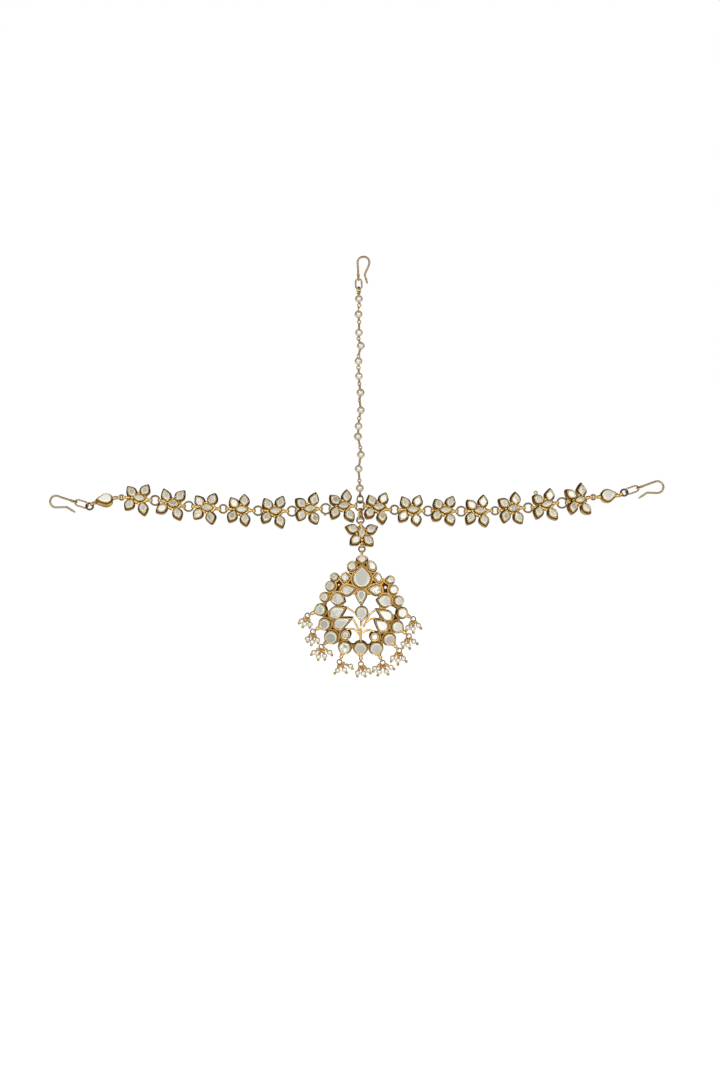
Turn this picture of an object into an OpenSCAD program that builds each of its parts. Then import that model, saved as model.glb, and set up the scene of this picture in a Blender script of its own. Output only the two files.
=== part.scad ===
// Matha patti: a head band of fourteen flower settings between two end hooks,
// a string of pearls along the parting and a domed pendant on the forehead.
// Positions are laid out on a chart (x to the right, y downwards); one chart
// unit is chart_unit mm. The origin is the inside of the parting hook's bend.

/* [Overall] */
// Size of one chart unit, mm
chart_unit = 0.52; // [0.5:0.005:0.54]

/* [Wires] */
// Wire of the hooks, mm
hook_wire = 0.76; // [0.6:0.02:0.9]
// Inside bend radius of the hooks, mm
hook_bend = 2.67; // [2.3:0.01:3.2]
// Wire of the rings between the flowers, mm
ring_wire = 0.72; // [0.5:0.02:0.8]
// Wire of the loops on the settings, mm
loop_wire = 0.6; // [0.4:0.02:0.7]
// Radius of the loops on the settings to mid wire, mm
loop_radius = 0.85; // [0.8:0.01:1]
// Wire through the parting pearls, mm
string_wire = 0.7; // [0.4:0.05:0.9]

/* [Settings] */
// Depth of the flower settings, mm
flower_depth = 3; // [2.4:0.1:3.6]
// Distance of the flower faces in front of the ring plane, mm
flower_front = 1.7; // [1.2:0.1:2.2]
// Depth of the pendant settings, mm
pendant_depth = 3.6; // [3:0.1:4.2]
// Wall of the settings round each stone, mm
wall = 0.45; // [0.35:0.05:0.6]
// Depth of the seats for the stones, mm
seat_depth = 0.9; // [0.6:0.05:1.2]
// Clearance round each stone, mm
stone_gap = 0.05; // [0.03:0.01:0.1]
// Height of the marquise above the leaves of a flower, mm
marquise_rise = 0.45; // [0:0.05:0.8]

/* [Pendant dome] */
// Radius of the dome that the pendant faces lie on, mm
dome_radius = 70; // [50:1:90]
// Distance of the crown of the dome in front of the hanging plane, mm
dome_front = 5.6; // [4:0.1:7]

/* [Pearls] */
// Diameter of the parting pearls, mm
pearl_d = 4; // [3.4:0.1:4.4]
// Diameter of the seed pearls in the clusters, mm
seed_d = 2.2; // [1.8:0.1:2.6]

/* [Hidden] */
$fn = 48;
u = chart_unit;
half_ring = ring_wire / 2;
half_loop = loop_wire / 2;
half_hook = hook_wire / 2;
gold = [0.80, 0.60, 0.27];
brass = [0.78, 0.66, 0.42];
dark = [0.42, 0.33, 0.20];
pearl = [0.93, 0.90, 0.82];
stone = [0.80, 0.80, 0.74];

// chart point to panel point: x right, y up, z towards the front
function at(p, z = 0) = [(p[0] - 363.5) * u, (257.5 - p[1]) * u, z];
// point seen at m from the middle of a face leaning back l and turned t, laid flat
function flat(m, l, t) = let (y = m[1] / cos(l)) [(m[0] + y * sin(l) * sin(t)) / cos(t), y];
function unit(v) = v / norm(v);
function mid(a, b, k) = a + (b - a) * k;

module upright() { rotate([90, 0, 0]) children(); }
module aim(p, n) {
    translate(p) rotate([0, acos(n[2] / norm(n)), atan2(n[1], n[0])]) children();
}
module bar(p, q, r) { aim(p, q - p) cylinder(h = norm(q - p), r = r); }
module hoop(p, n, radius, half) {
    aim(p, n) rotate_extrude() translate([radius, 0]) circle(r = half);
}
module arc(radius, a0, a1, half) {
    rotate([0, 0, a0]) rotate_extrude(angle = a1 - a0) translate([radius, 0]) circle(r = half);
}

// round with a point at distance tip and, when back is over 0, one behind
module drop_prism(r, tip, back, z0, z1) {
    a = acos(r / tip) + 13;
    b = back > r * 1.06 ? acos(r / back) + 13 : 0;
    s = 0.985 * r;
    translate([0, 0, z0]) {
        cylinder(h = z1 - z0, r = r);
        linear_extrude(height = z1 - z0)
            polygon(b > 0
                ? [[tip, 0], [s * cos(a), s * sin(a)], [-s * cos(b), s * sin(b)],
                   [-back, 0], [-s * cos(b), -s * sin(b)], [s * cos(a), -s * sin(a)]]
                : [[tip, 0], [s * cos(a), s * sin(a)], [s * cos(a), -s * sin(a)]]);
    }
}
// drop shape from base point to tip point, narrowed all round by cut
module leaf(base, tip, r, cut, z0, z1) {
    l = norm(tip - base);
    k = (r - cut) / r;
    c = mid(base, tip, 0.42);
    translate([c[0], c[1], 0]) rotate([0, 0, atan2(tip[1] - base[1], tip[0] - base[0])])
        drop_prism(r * k, 0.58 * l * k, 0.42 * l * k, z0, z1);
}
// lens of the given half length and half width, widened by grow
module lens(half_l, half_w, grow, z0, z1) {
    r = (half_l * half_l + half_w * half_w) / (2 * half_w);
    intersection() {
        translate([0, r - half_w, z0]) cylinder(h = z1 - z0, r = r + grow);
        translate([0, half_w - r, z0]) cylinder(h = z1 - z0, r = r + grow);
    }
}

// ---------------------------------------------------------------- flowers
flower_leaf = 4.15 * u;
marquise_l = 6 * u;
marquise_w = 3.75 * u;
// where the leaves start, from the middle of a flower
leaf_roots = [[-6, -2.5], [2.8, -3.5], [-6.5, 1.8], [2.5, 4.2]];
// middle x, y | tips up left, up right, low left, low right | slope of the marquise, lean, turn
flower_rows = [
    [139.5, 497.8, [127.2, 485.4], [148.7, 483.7], [125.6, 509.3], [144.9, 513.2], -7, 15, 0],
    [173.2, 503.3, [163.7, 488.2], [184.9, 489.9], [157.5, 510.9], [179.6, 518.7], -4.6, 20, 0],
    [207.2, 507.4, [195, 495.2], [215.4, 492.8], [194, 519.2], [211.6, 524.5], -2.4, 5, -8],
    [241.6, 509.1, [230.4, 496.4], [244.5, 493], [229.2, 519.5], [245.5, 524], 0, 18, 3],
    [275.5, 510.6, [264.5, 497.6], [283.2, 495.7], [262.7, 521.1], [281.5, 526.4], 0, 18, 10],
    [310, 508.4, [296.3, 498.3], [315.6, 492.1], [298.7, 519.9], [315.8, 524], 4.9, 5, 15],
    [344, 505.1, [330.3, 494.5], [346.5, 489], [332.7, 517.6], [352.5, 519], 6.1, 20, 10],
    [378.9, 506.5, [368.7, 494.3], [386.5, 492.4], [366.8, 515.2], [382.8, 522.5], -1.6, 25, 12],
    [413, 509.3, [401.5, 496.5], [420.3, 495.3], [400.1, 519.6], [418.2, 523.9], -1.5, 20, 5],
    [445.8, 509.9, [435.1, 498], [453.4, 495.6], [433.9, 519.6], [453.4, 524.4], -2.5, 20, 12],
    [480.1, 510.3, [467.1, 499.3], [483.8, 494.3], [467.1, 523.1], [485.7, 523.6], 0, 18, 10],
    [513.3, 508, [498.5, 498.9], [515.7, 491.2], [502.9, 522.2], [521.9, 523.6], 10, 5, 12],
    [547, 503.9, [534.2, 494.3], [550.4, 487.4], [535.6, 517.1], [556.6, 517.6], 9, 18, 15],
    [580.2, 498.4, [565.6, 488.3], [581.3, 481.9], [572.3, 511.4], [590.4, 512.4], 6.8, 20, 22],
];
// rings 1 to 13: middle x, y, outside radius
ring_rows = [
    [155.1, 500.4, 5.3], [188.6, 506.4, 5.4], [223.2, 508.9, 4.7], [258, 510.7, 5.1],
    [292, 511.2, 5.4], [325.7, 508.9, 5.6], [360.1, 506, 5.4], [394.5, 509.8, 5],
    [428, 511, 5.3], [461.1, 511.3, 5.3], [495.1, 510.8, 4.5], [528.1, 507.8, 5.2],
    [562, 502.9, 5.6],
];
end_ring_left_at = [121.5, 497.5];
end_ring_right_at = [593.2, 497.2];
end_ring_radius = 1.27;
function ring_mean(i) = ring_rows[i][2] * u - half_ring;
// wire of ring i on its right (side 1) or left (side -1), on the chart
function ring_side(i, side) = [ring_rows[i][0] + side * ring_mean(i) / u, ring_rows[i][1]];
function end_side(p, side) = [p[0] + side * end_ring_radius / u, p[1]];

module tilted(p, front, lean, turn) {
    translate(at(p, front)) rotate([-lean, turn, 0]) children();
}
module leaves(rows, cut, z0, z1) {
    for (r = rows) leaf(r[0], r[1], flower_leaf, cut, z0, z1);
}
module marquise(slope, grow, z0, z1) {
    rotate([0, 0, slope]) lens(marquise_l, marquise_w, grow, z0, z1);
}
// flower or drop flower: c middle, rows of leaf root and tip, loops [middle, axis, side]
module flower_setting(c, rows, slope, lean, turn, loops) {
    upright() difference() {
        union() {
            tilted(c, flower_front, lean, turn) {
                leaves(rows, 0, -flower_depth, 0);
                marquise(slope, 1, -flower_depth + 0.1, -0.8);
                marquise(slope, 0, -flower_depth + 0.3, marquise_rise);
            }
            for (l = loops) {
                hoop(at(l[0]), l[1], loop_radius, half_loop);
                bar(at(l[0]) + loop_radius * l[2],
                    at(c, flower_front - flower_depth / 2 * cos(lean)) - [0, flower_depth / 2 * sin(lean), 0], 0.55);
            }
        }
        tilted(c, flower_front, lean, turn) {
            leaves(rows, wall, -seat_depth, 2);
            marquise(slope, -wall, -seat_depth, 2);
        }
    }
}
module flower_stones(c, rows, slope, lean, turn) {
    upright() tilted(c, flower_front, lean, turn) {
        leaves(rows, wall + stone_gap, -seat_depth + stone_gap, 0.1);
        marquise(slope, -wall - stone_gap, -seat_depth + stone_gap, marquise_rise + 0.1);
    }
}
function leaf_rows(f) = [for (i = [0:3])
    [flat([leaf_roots[i][0] * u, -leaf_roots[i][1] * u], f[7], f[8]),
     flat([(f[2 + i][0] - f[0]) * u, (f[1] - f[2 + i][1]) * u], f[7], f[8])]];
module flower(i) {
    f = flower_rows[i];
    left = i == 0 ? end_side(end_ring_left_at, 1) : ring_side(i - 1, 1);
    right = i == 13 ? end_side(end_ring_right_at, -1) : ring_side(i, -1);
    color(gold) flower_setting([f[0], f[1]], leaf_rows(f), f[6], f[7], f[8],
        [[left, [0, 1, 0], [1, 0, 0]], [right, [0, 1, 0], [-1, 0, 0]]]);
}
module stones_of(i) {
    f = flower_rows[i];
    flower_stones([f[0], f[1]], leaf_rows(f), f[6], f[7], f[8]);
}
module band_ring(i) {
    color(gold) upright() hoop(at(ring_rows[i]), [0, 0, 1], ring_mean(i), half_ring);
}
module end_ring(p) { color(gold) upright() hoop(at(p), [0, 0, 1], end_ring_radius, 0.3); }

module flower_1() { flower(0); }
module flower_2() { flower(1); }
module flower_3() { flower(2); }
module flower_4() { flower(3); }
module flower_5() { flower(4); }
module flower_6() { flower(5); }
module flower_7() { flower(6); }
module flower_8() { flower(7); }
module flower_9() { flower(8); }
module flower_10() { flower(9); }
module flower_11() { flower(10); }
module flower_12() { flower(11); }
module flower_13() { flower(12); }
module flower_14() { flower(13); }
module ring_1() { band_ring(0); }
module ring_2() { band_ring(1); }
module ring_3() { band_ring(2); }
module ring_4() { band_ring(3); }
module ring_5() { band_ring(4); }
module ring_6() { band_ring(5); }
module ring_7() { band_ring(6); }
module ring_8() { band_ring(7); }
module ring_9() { band_ring(8); }
module ring_10() { band_ring(9); }
module ring_11() { band_ring(10); }
module ring_12() { band_ring(11); }
module ring_13() { band_ring(12); }
module end_ring_left() { end_ring(end_ring_left_at); }
module end_ring_right() { end_ring(end_ring_right_at); }

// ---------------------------------------------------------------- end drops
jump_radius = 1.8;
jump_half = 0.38;
// middle of the round, its radius, point, lean, turn, depth
drop_left = [[106.3, 497.6], 6, [96.5, 499], 38, 4, 3.8];
drop_right = [[607.5, 495.2], 5.9, [617.5, 493.6], 25, -4, 3.6];
jump_left_at = [89.6, 506.4];
jump_right_at = [624.2, 492.6];
axis_left = -16.9;
axis_right = 18.7;
function jump_point(c, a) = c + [cos(a), -sin(a)] * jump_radius / u;
function on_axis(a, tilt, b) = let (s = [cos(a), sin(a), 0], p = [-sin(a), cos(a), 0] * cos(tilt) + [0, 0, sin(tilt)])
    s * cos(b) + p * sin(b);
module end_drop_shape(d, cut, z0, z1) {
    t = flat([(d[2][0] - d[0][0]) * u, (d[0][1] - d[2][1]) * u], d[3], d[4]);
    k = (d[1] * u - cut) / (d[1] * u);
    tilted(d[0], 1.6, d[3], d[4]) rotate([0, 0, atan2(t[1], t[0])])
        drop_prism(d[1] * u * k, norm(t) * k, 0, z0, z1);
}
// loops: [middle in the panel, axis, direction of the neck]
module end_drop(d, loops) {
    color(gold) upright() difference() {
        union() {
            end_drop_shape(d, 0, -d[5], 0);
            for (l = loops) {
                hoop(l[0], l[1], loop_radius, half_loop);
                bar(l[0] + loop_radius * l[2], at(d[0], 1.6 - d[5] / 2 * cos(d[3])) - [0, d[5] / 2 * sin(d[3]), 0], 0.55);
            }
        }
        end_drop_shape(d, wall + 0.1, -seat_depth, 2);
    }
}
module end_drop_stone(d) {
    upright() end_drop_shape(d, wall + 0.1 + stone_gap, -seat_depth + stone_gap, 0.15);
}
// point of a tilted jump ring at angle b from its own axis
function jump_wire(c, a, tilt, b) = at(c) + jump_radius * on_axis(a, tilt, b);
function jump_tangent(a, tilt, b) = on_axis(a, tilt, b + 90);
module teardrop_left() {
    end_drop(drop_left, [
        [jump_wire(jump_left_at, axis_left, -24, 62), jump_tangent(axis_left, -24, 62), on_axis(axis_left, -24, 62)],
        [at(end_side(end_ring_left_at, -1)), [0, 1, 0], [-1, 0, 0]]]);
}
module teardrop_right() {
    end_drop(drop_right, [
        [jump_wire(jump_right_at, axis_right, -24, 198), jump_tangent(axis_right, -24, 198), on_axis(axis_right, -24, 198)],
        [at(end_side(end_ring_right_at, 1)), [0, 1, 0], [1, 0, 0]]]);
}
module jump_ring(c, a, tilt) {
    color(dark) upright() translate(at(c)) rotate([0, 0, a]) rotate([tilt, 0, 0])
        hoop([0, 0, 0], [0, 0, 1], jump_radius, jump_half);
}
module jump_left() { jump_ring(jump_left_at, axis_left, -24); }
module jump_right() { jump_ring(jump_right_at, axis_right, -24); }

// long link between two ends of its mid wire, on the chart
link_half = 0.33;
module oval_link(p, q, radius, tilt) {
    a = at(p);
    b = at(q);
    l = norm(b - a) / 2 - radius;
    translate((a + b) / 2) rotate([0, 0, atan2(b[1] - a[1], b[0] - a[0])]) rotate([tilt, 0, 0]) {
        translate([l, 0, 0]) arc(radius, -90, 90, link_half);
        translate([-l, 0, 0]) arc(radius, 90, 270, link_half);
        for (s = [-1, 1]) bar([-l, s * radius, 0], [l, s * radius, 0], link_half);
    }
}
eye_left = [75.2, 501.9];
eye_right = [638.5, 487.75];
module link_left() { color(brass) upright() oval_link(eye_left, [88, 505.8], 1.7, 24); }
module link_right() { color(brass) upright() oval_link([625.84, 492.05], eye_right, 1.7, 24); }

// ---------------------------------------------------------------- hooks
hook_mid = hook_bend + half_hook;
eye_radius = 0.85;
// bent wire with its eye at the origin: shank, angle past the half turn, leg, counter bend, tip
counter_bend = 1.6;
joint = half_hook * 1.07;
set_in = 0.11;
module hook(shank, past, leg, counter, tip, eye_axis) {
    a = set_in / hook_mid * 57.3;
    c = set_in / counter_bend * 57.3;
    hoop([0, 0, 0], eye_axis, eye_radius, half_hook);
    translate([0, eye_radius, 0]) sphere(r = half_hook * 1.2);
    bar([0, eye_radius + set_in, 0], [0, eye_radius + shank - set_in, 0], half_hook);
    translate([hook_mid, eye_radius + shank, 0]) {
        translate([-hook_mid, 0, 0]) sphere(r = joint);
        arc(hook_mid, a - past, 180 - a, half_hook);
        rotate([0, 0, -past]) translate([hook_mid, 0, 0]) {
            sphere(r = joint);
            bar([0, -set_in, 0], [0, set_in - leg, 0], half_hook);
            translate([counter_bend, -leg, 0]) {
                translate([-counter_bend, 0, 0]) sphere(r = joint);
                arc(counter_bend, 180 + c, 180 + counter - c, half_hook);
                rotate([0, 0, counter]) translate([-counter_bend, 0, 0]) {
                    sphere(r = joint);
                    bar([0, -set_in, 0], [0, -tip, 0], half_hook);
                    translate([0, -tip, 0]) sphere(r = joint);
                }
            }
        }
    }
}
parting_turn = 3;
parting_shank = 7.5;
parting_eye = [-(hook_mid * cos(parting_turn) - (eye_radius + parting_shank) * sin(parting_turn)),
               -hook_bend - (hook_mid * sin(parting_turn) + (eye_radius + parting_shank) * cos(parting_turn)), 0];
module hook_parting() {
    color(brass) upright() translate(parting_eye) rotate([0, 0, parting_turn])
        hook(parting_shank, 26, 4.9, 39, 3.9, [1, 0, 0]);
}
module hook_left() {
    color(brass) upright() translate(at(eye_left)) rotate([0, 0, 71.3]) mirror([1, 0, 0])
        hook(8.6, 21, 4.3, 37, 4.2, [cos(24), 0, -sin(24)]);
}
module hook_right() {
    color(brass) upright() translate(at(eye_right)) rotate([0, 0, -70])
        hook(8.55, 21, 4.3, 37, 4.2, [cos(24), 0, -sin(24)]);
}

// ---------------------------------------------------------------- parting string
link_top = [363.5 + parting_eye[0] / u, 257.5 - parting_eye[1] / u];
link_end = [358.9, 289.05];
top_ring_radius = 1.5;
top_ring_half = 0.42;
top_ring_at = [358.7, 287.25 + top_ring_radius / u];
top_ring_turn = 62;
module link_parting() { color(brass) upright() oval_link(link_top, link_end, 1.57, 0); }
module top_ring() {
    color(gold) upright() hoop(at(top_ring_at), [sin(top_ring_turn), 0, cos(top_ring_turn)], top_ring_radius, top_ring_half);
}
parting_ring_at = [360.1, 499.3];
parting_ring_radius = 2;
parting_ring_turn = 42;
chain_top = [top_ring_at[0], top_ring_at[1] + top_ring_radius / u];
chain_end = [parting_ring_at[0], parting_ring_at[1] - parting_ring_radius / u];
chain_pearls = [[358.9, 298.9], [358.5, 314.4], [359, 332.7], [360.8, 345.9], [358.5, 361.2], [358.9, 376.2],
    [360.5, 392.6], [360.9, 410.3], [358.5, 426.3], [357.9, 436.6], [360.9, 454.8], [358.6, 468.9], [359.8, 488.2]];
// small rings between the pearls: x, y, turn about the string
chain_rings = [[359.3, 305.4, 0], [358.4, 309.2, 90], [359.1, 322, 20], [358.5, 338.6, 30], [358.5, 356.1, 40],
    [358.5, 367.6, 10], [359.4, 383.9, 35], [359.5, 400.2, 60], [359.1, 418.3, 15], [360.3, 447.6, 30],
    [359.8, 461.3, 70], [359.4, 480.6, 25]];
chain_route = concat([[chain_top[0], chain_top[1] + 1.4]], chain_pearls, [[chain_end[0], chain_end[1] - 1.4]]);
module parting_chain() {
    color(pearl) upright() {
        for (p = chain_pearls) translate(at(p)) sphere(r = pearl_d / 2);
        for (i = [0:len(chain_route) - 2]) let (p = at(chain_route[i]), q = at(chain_route[i + 1]), e = unit(q - p))
            bar(i == 0 ? p : p + 1.3 * e, i == len(chain_route) - 2 ? q : q - 1.3 * e, string_wire / 2);
        for (r = chain_rings) hoop(at(r), [sin(r[2]), 0, cos(r[2])], 0.8, 0.26);
        hoop(at(chain_top), [cos(top_ring_turn), 0, -sin(top_ring_turn)], 0.8, 0.25);
        hoop(at(chain_end), [cos(parting_ring_turn), 0, -sin(parting_ring_turn)], 0.78, 0.25);
    }
}
module parting_ring() {
    color(gold) upright() hoop(at(parting_ring_at), [sin(parting_ring_turn), 0, cos(parting_ring_turn)], parting_ring_radius, 0.34);
}

// ---------------------------------------------------------------- centre drop
bail_width = 2.5;
bail_inside = 1;
bail_outside = 1.44;
bail_top = [360.4, ring_rows[6][1] + ring_mean(6) / u];
bail_low = [360.4, 517];
drop_link_radius = 1.77;
drop_link_at = [360.4, 520.05];
drop_loop_top = [360.9, 520.05 + drop_link_radius / u];
drop_loop_low = [361.9, 546];
module slot_prism(p, q, r, w) {
    l = norm(at(q) - at(p));
    translate(at(p)) {
        translate([-w / 2, 0, 0]) rotate([0, 90, 0]) cylinder(h = w, r = r);
        translate([-w / 2, -l, 0]) rotate([0, 90, 0]) cylinder(h = w, r = r);
        translate([-w / 2, -l, -r]) cube([w, l, 2 * r]);
    }
}
module drop_bail() {
    color(gold) upright() difference() {
        slot_prism(bail_top, bail_low, bail_outside, bail_width);
        slot_prism(bail_top, bail_low, bail_inside, bail_width + 1);
    }
}
module drop_link() { color(gold) upright() hoop(at(drop_link_at), [0, 0, 1], drop_link_radius, half_ring); }
drop_flower_at = [361.8, 532.4];
drop_lean = 18;
drop_turn = 12;
// root x, y, tip x, y
drop_leaf_chart = [[358.3, 530.4, 346.9, 526.9], [366.4, 530.6, 377.9, 526.5], [359.6, 536, 350.8, 544.2], [365, 536, 373.8, 545.4]];
function off(c, x, y, l, t) = flat([(x - c[0]) * u, (c[1] - y) * u], l, t);
drop_leaf_rows = [for (r = drop_leaf_chart)
    [off(drop_flower_at, r[0], r[1], drop_lean, drop_turn), off(drop_flower_at, r[2], r[3], drop_lean, drop_turn)]];
module drop_flower() {
    color(gold) flower_setting(drop_flower_at, drop_leaf_rows, 90, drop_lean, drop_turn,
        [[drop_loop_top, [1, 0, 0], [0, -1, 0]], [drop_loop_low, [1, 0, 0], [0, 1, 0]]]);
}
module drop_stones() { color(stone) flower_stones(drop_flower_at, drop_leaf_rows, 90, drop_lean, drop_turn); }
pendant_ring_radius = 1.56;
pendant_ring_at = [361.9, 546 + pendant_ring_radius / u];
pendant_loop_at = [361.9, 546 + 2 * pendant_ring_radius / u];
module pendant_ring() { color(gold) upright() hoop(at(pendant_ring_at), [0, 0, 1], pendant_ring_radius, 0.35); }

// ---------------------------------------------------------------- pendant
crown = [361.3, 606];
function dome_n(p) = let (x = (p[0] - crown[0]) * u / dome_radius, y = (crown[1] - p[1]) * u / dome_radius)
    [x, y, sqrt(1 - x * x - y * y)];
function dome_z(p) = dome_front + dome_radius * (dome_n(p)[2] - 1);
function dome_lean(p) = asin(dome_n(p)[1]);
function dome_turn(p) = atan2(dome_n(p)[0], dome_n(p)[2]);
// point at depth d under the dome face
function under(p, d) = at(p, dome_z(p)) - d * dome_n(p);
module on_dome(p) { tilted(p, dome_z(p), dome_lean(p), dome_turn(p)) children(); }

// rounds and drops: middle x, y, radius, point x, y (0 when round), wall
drops = [
    [361.8, 578.5, 8.85, 362, 565.5, 0.5], [346.5, 590.2, 5.3, 356.5, 588.3, 0.45], [376.5, 589.8, 5.2, 367, 588.8, 0.45],
    [361.3, 594.5, 5.3, 361.4, 605, 0.45], [337.3, 598.8, 6.2, 344.8, 601.3, 0.5], [385.3, 600.8, 6.4, 376.8, 599.6, 0.5],
    [361.8, 612.5, 6, 361.7, 621.5, 0.5], [335.5, 613, 6.3, 346.5, 607, 0.5], [339.5, 623.8, 5.8, 352.6, 617.5, 0.5],
    [388, 615.3, 5.7, 376, 609, 0.5], [382.8, 626.3, 5.6, 374, 618.8, 0.5], [334, 576.7, 4, 0, 0, 0.4],
    [390.9, 579.6, 4, 385.1, 580.4, 0.4], [330, 585.8, 5, 0, 0, 0.45], [394, 589.6, 4.8, 0, 0, 0.45],
    [324, 596.9, 4.7, 0, 0, 0.45], [399.2, 600.9, 5, 0, 0, 0.45], [319.9, 609.8, 5.7, 0, 0, 0.5],
    [402.8, 613, 5.45, 0, 0, 0.5], [324.3, 624.4, 6, 0, 0, 0.5], [397.8, 627.1, 6, 0, 0, 0.5],
    [331, 638, 6.5, 0, 0, 0.5], [389.7, 639.8, 6.3, 0, 0, 0.5], [345.5, 634.8, 4.9, 0, 0, 1],
    [374.8, 637.1, 4.7, 0, 0, 0.85], [344.5, 648.2, 6.3, 0, 0, 0.5], [360.5, 648.8, 6.7, 0, 0, 0.5],
    [376.3, 648.9, 6.7, 0, 0, 0.5],
];
// panes: middle, corners
panes = [
    [[362, 559], [[356.3, 558.8], [358.8, 556.2], [362, 555], [365.2, 556.2], [367.8, 558.7], [362, 563.5]]],
    [[352, 565.3], [[349, 561.7], [355.4, 561], [356.3, 568.3], [351.7, 570], [348.8, 568.3], [347.5, 565]]],
    [[372.6, 565.3], [[368.4, 560.8], [370.5, 560.2], [376.3, 565], [376.8, 567.5], [374.7, 570.4], [368.6, 568.3]]],
    [[346, 577.3], [[346.7, 572.1], [351, 576.9], [345.4, 582.5], [341, 577.1]]],
    [[378.6, 577.3], [[377.6, 572.1], [382.8, 578.3], [380.1, 582.5], [374.3, 577.5]]],
];
module dome_drop(d, cut, z0, z1) {
    p = [d[0], d[1]];
    r = d[2] * u;
    k = (r - cut) / r;
    on_dome(p) if (d[3] == 0) {
        translate([0, 0, z0]) cylinder(h = z1 - z0, r = r * k);
    } else {
        t = flat([(d[3] - d[0]) * u, (d[1] - d[4]) * u], dome_lean(p), dome_turn(p));
        rotate([0, 0, atan2(t[1], t[0])]) drop_prism(r * k, norm(t) * k, 0, z0, z1);
    }
}
module dome_pane(s, k, z0, z1) {
    p = s[0];
    on_dome(p) translate([0, 0, z0]) linear_extrude(height = z1 - z0)
        polygon([for (c = s[1]) k * flat([(c[0] - p[0]) * u, (p[1] - c[1]) * u], dome_lean(p), dome_turn(p))]);
}
pane_seat = 0.72;
// metal plate set back behind the faces: its edge, and the openings through it
plate_depth = 1.6;
plate_thick = 1.5;
plate_edge = [[334, 576.7], [341, 577], [346, 576.5], [351.5, 567], [356, 561.5], [362, 558.5], [368, 561.5],
    [373, 567], [378.6, 576.5], [384, 578], [390.9, 579.6], [394, 589.6], [399.2, 600.9], [402.8, 613], [397.8, 627.1],
    [389.7, 639.8], [376.3, 648.9], [360.5, 650], [344.5, 648.2], [331, 638], [324.3, 624.4], [319.9, 609.8],
    [324, 596.9], [330, 585.8]];
plate_openings = [
    [[349.5, 593.5], [357.8, 594.5], [361.2, 603], [361.4, 619], [360.8, 633], [360, 643], [352.4, 644.8], [347, 643.5],
     [348.5, 637.5], [347, 631.5], [342.5, 628], [345, 622], [350.5, 618.8], [344.5, 618.5], [340.5, 614.5],
     [344, 609.5], [342, 602], [343, 599], [345.5, 594]],
    [[364.5, 595.5], [373, 593.5], [377, 594], [380.5, 598], [380.5, 604.5], [379.5, 610.5], [381, 615],
     [378.5, 620.5], [376, 622.5], [379, 629.5], [377, 633.5], [371.5, 636], [372.5, 641], [371.5, 645.5],
     [368.4, 645.5], [364.5, 645], [361, 643.5], [361.8, 633], [362.2, 619], [362.4, 603]],
    [[332.3, 602], [326.5, 600], [324.3, 606.5], [325.3, 610.5], [330.5, 610], [334.5, 607.3], [335, 604.5]],
    [[388.5, 605.5], [386.5, 606.2], [386.5, 610.5], [392, 612], [392.8, 614.6], [398.2, 614.5], [398.5, 609.5],
     [394, 606.5]],
];
// wires between the faces: half thickness, depth, then chart points
wires = [
    [0.4, 1, [[345.5, 606.6], [349.5, 609.2], [355.6, 613.2]]],
    [0.4, 1, [[351.5, 617.6], [354.5, 621.6], [358.6, 630.4]]],
    [0.42, 1, [[376.5, 609.4], [370.5, 613.5], [367.6, 618.4], [363.8, 626.5]]],
    [0.36, 1.1, [[375, 618.4], [370.6, 619.3], [366, 622.6]]],
    [0.5, 1.2, [[361.4, 619], [360.8, 630], [360.6, 644]]],
    [0.42, 1.1, [[344.8, 630.5], [349.4, 629], [353.8, 629.5], [357.3, 632], [360.3, 636.5]]],
    [0.42, 1.1, [[361.2, 633.4], [366, 631], [370, 630.4], [374.4, 632.4], [378.4, 634.6]]],
    [0.5, 1.3, [[361.4, 602.5], [361.6, 609]]],
];
// clusters: ring middle x, y, row of its setting, then pearl x, y, tip x, y
cluster_ring = 1.27;
cluster_half = 0.27;
clusters = [
    [307.5, 615.5, 17, [[301.5, 621, 299, 623.3], [304.5, 624, 302.6, 627.2], [310, 624.3, 309.8, 627.6]]],
    [313, 631.5, 19, [[307.5, 638.9, 307.5, 642], [312.2, 641.9, 311.2, 645.2], [317.4, 640, 318.2, 643.2]]],
    [321.5, 646.8, 21, [[313.9, 652.5, 311.1, 655], [318.4, 656.6, 318.2, 660], [324.6, 655.9, 324.9, 659.8], [329.6, 652.3, 332.1, 655.4]]],
    [339.5, 661.9, 25, [[337.7, 670.4, 334.6, 673.5], [344.4, 669.9, 346.6, 673], [350.4, 666.2, 352.6, 668.8]]],
    [361, 664, 26, [[357.6, 672.7, 357.3, 676.4], [363.4, 673.4, 365.4, 676.4], [368.3, 670.2, 370.6, 673.4]]],
    [382.6, 662.7, 27, [[374.7, 668.3, 373, 671.6], [379.3, 672, 377.7, 675.6], [386.2, 671.4, 388.3, 674.6], [390.9, 667.4, 394.3, 669.3]]],
    [399.2, 650.6, 22, [[392.5, 658, 391, 661.6], [398, 660.4, 398, 664.8], [403.4, 658.6, 406.5, 661.8]]],
    [408.8, 636.1, 20, [[403.1, 643.8, 402.9, 648], [408, 645.2, 410, 649], [413.6, 641.4, 417.6, 644]]],
    [413.2, 619, 18, [[408, 627.6, 406, 630.6], [412.9, 628.9, 413.4, 632.8], [418.3, 625.4, 421.2, 628.6]]],
];
function seat_of(c) = [drops[c[2]][0], drops[c[2]][1]];
function cluster_z(c) = dome_z(seat_of(c)) - 1.9;
function toward(c) = unit([seat_of(c)[0] - c[0], c[1] - seat_of(c)[1], 0]);

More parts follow.
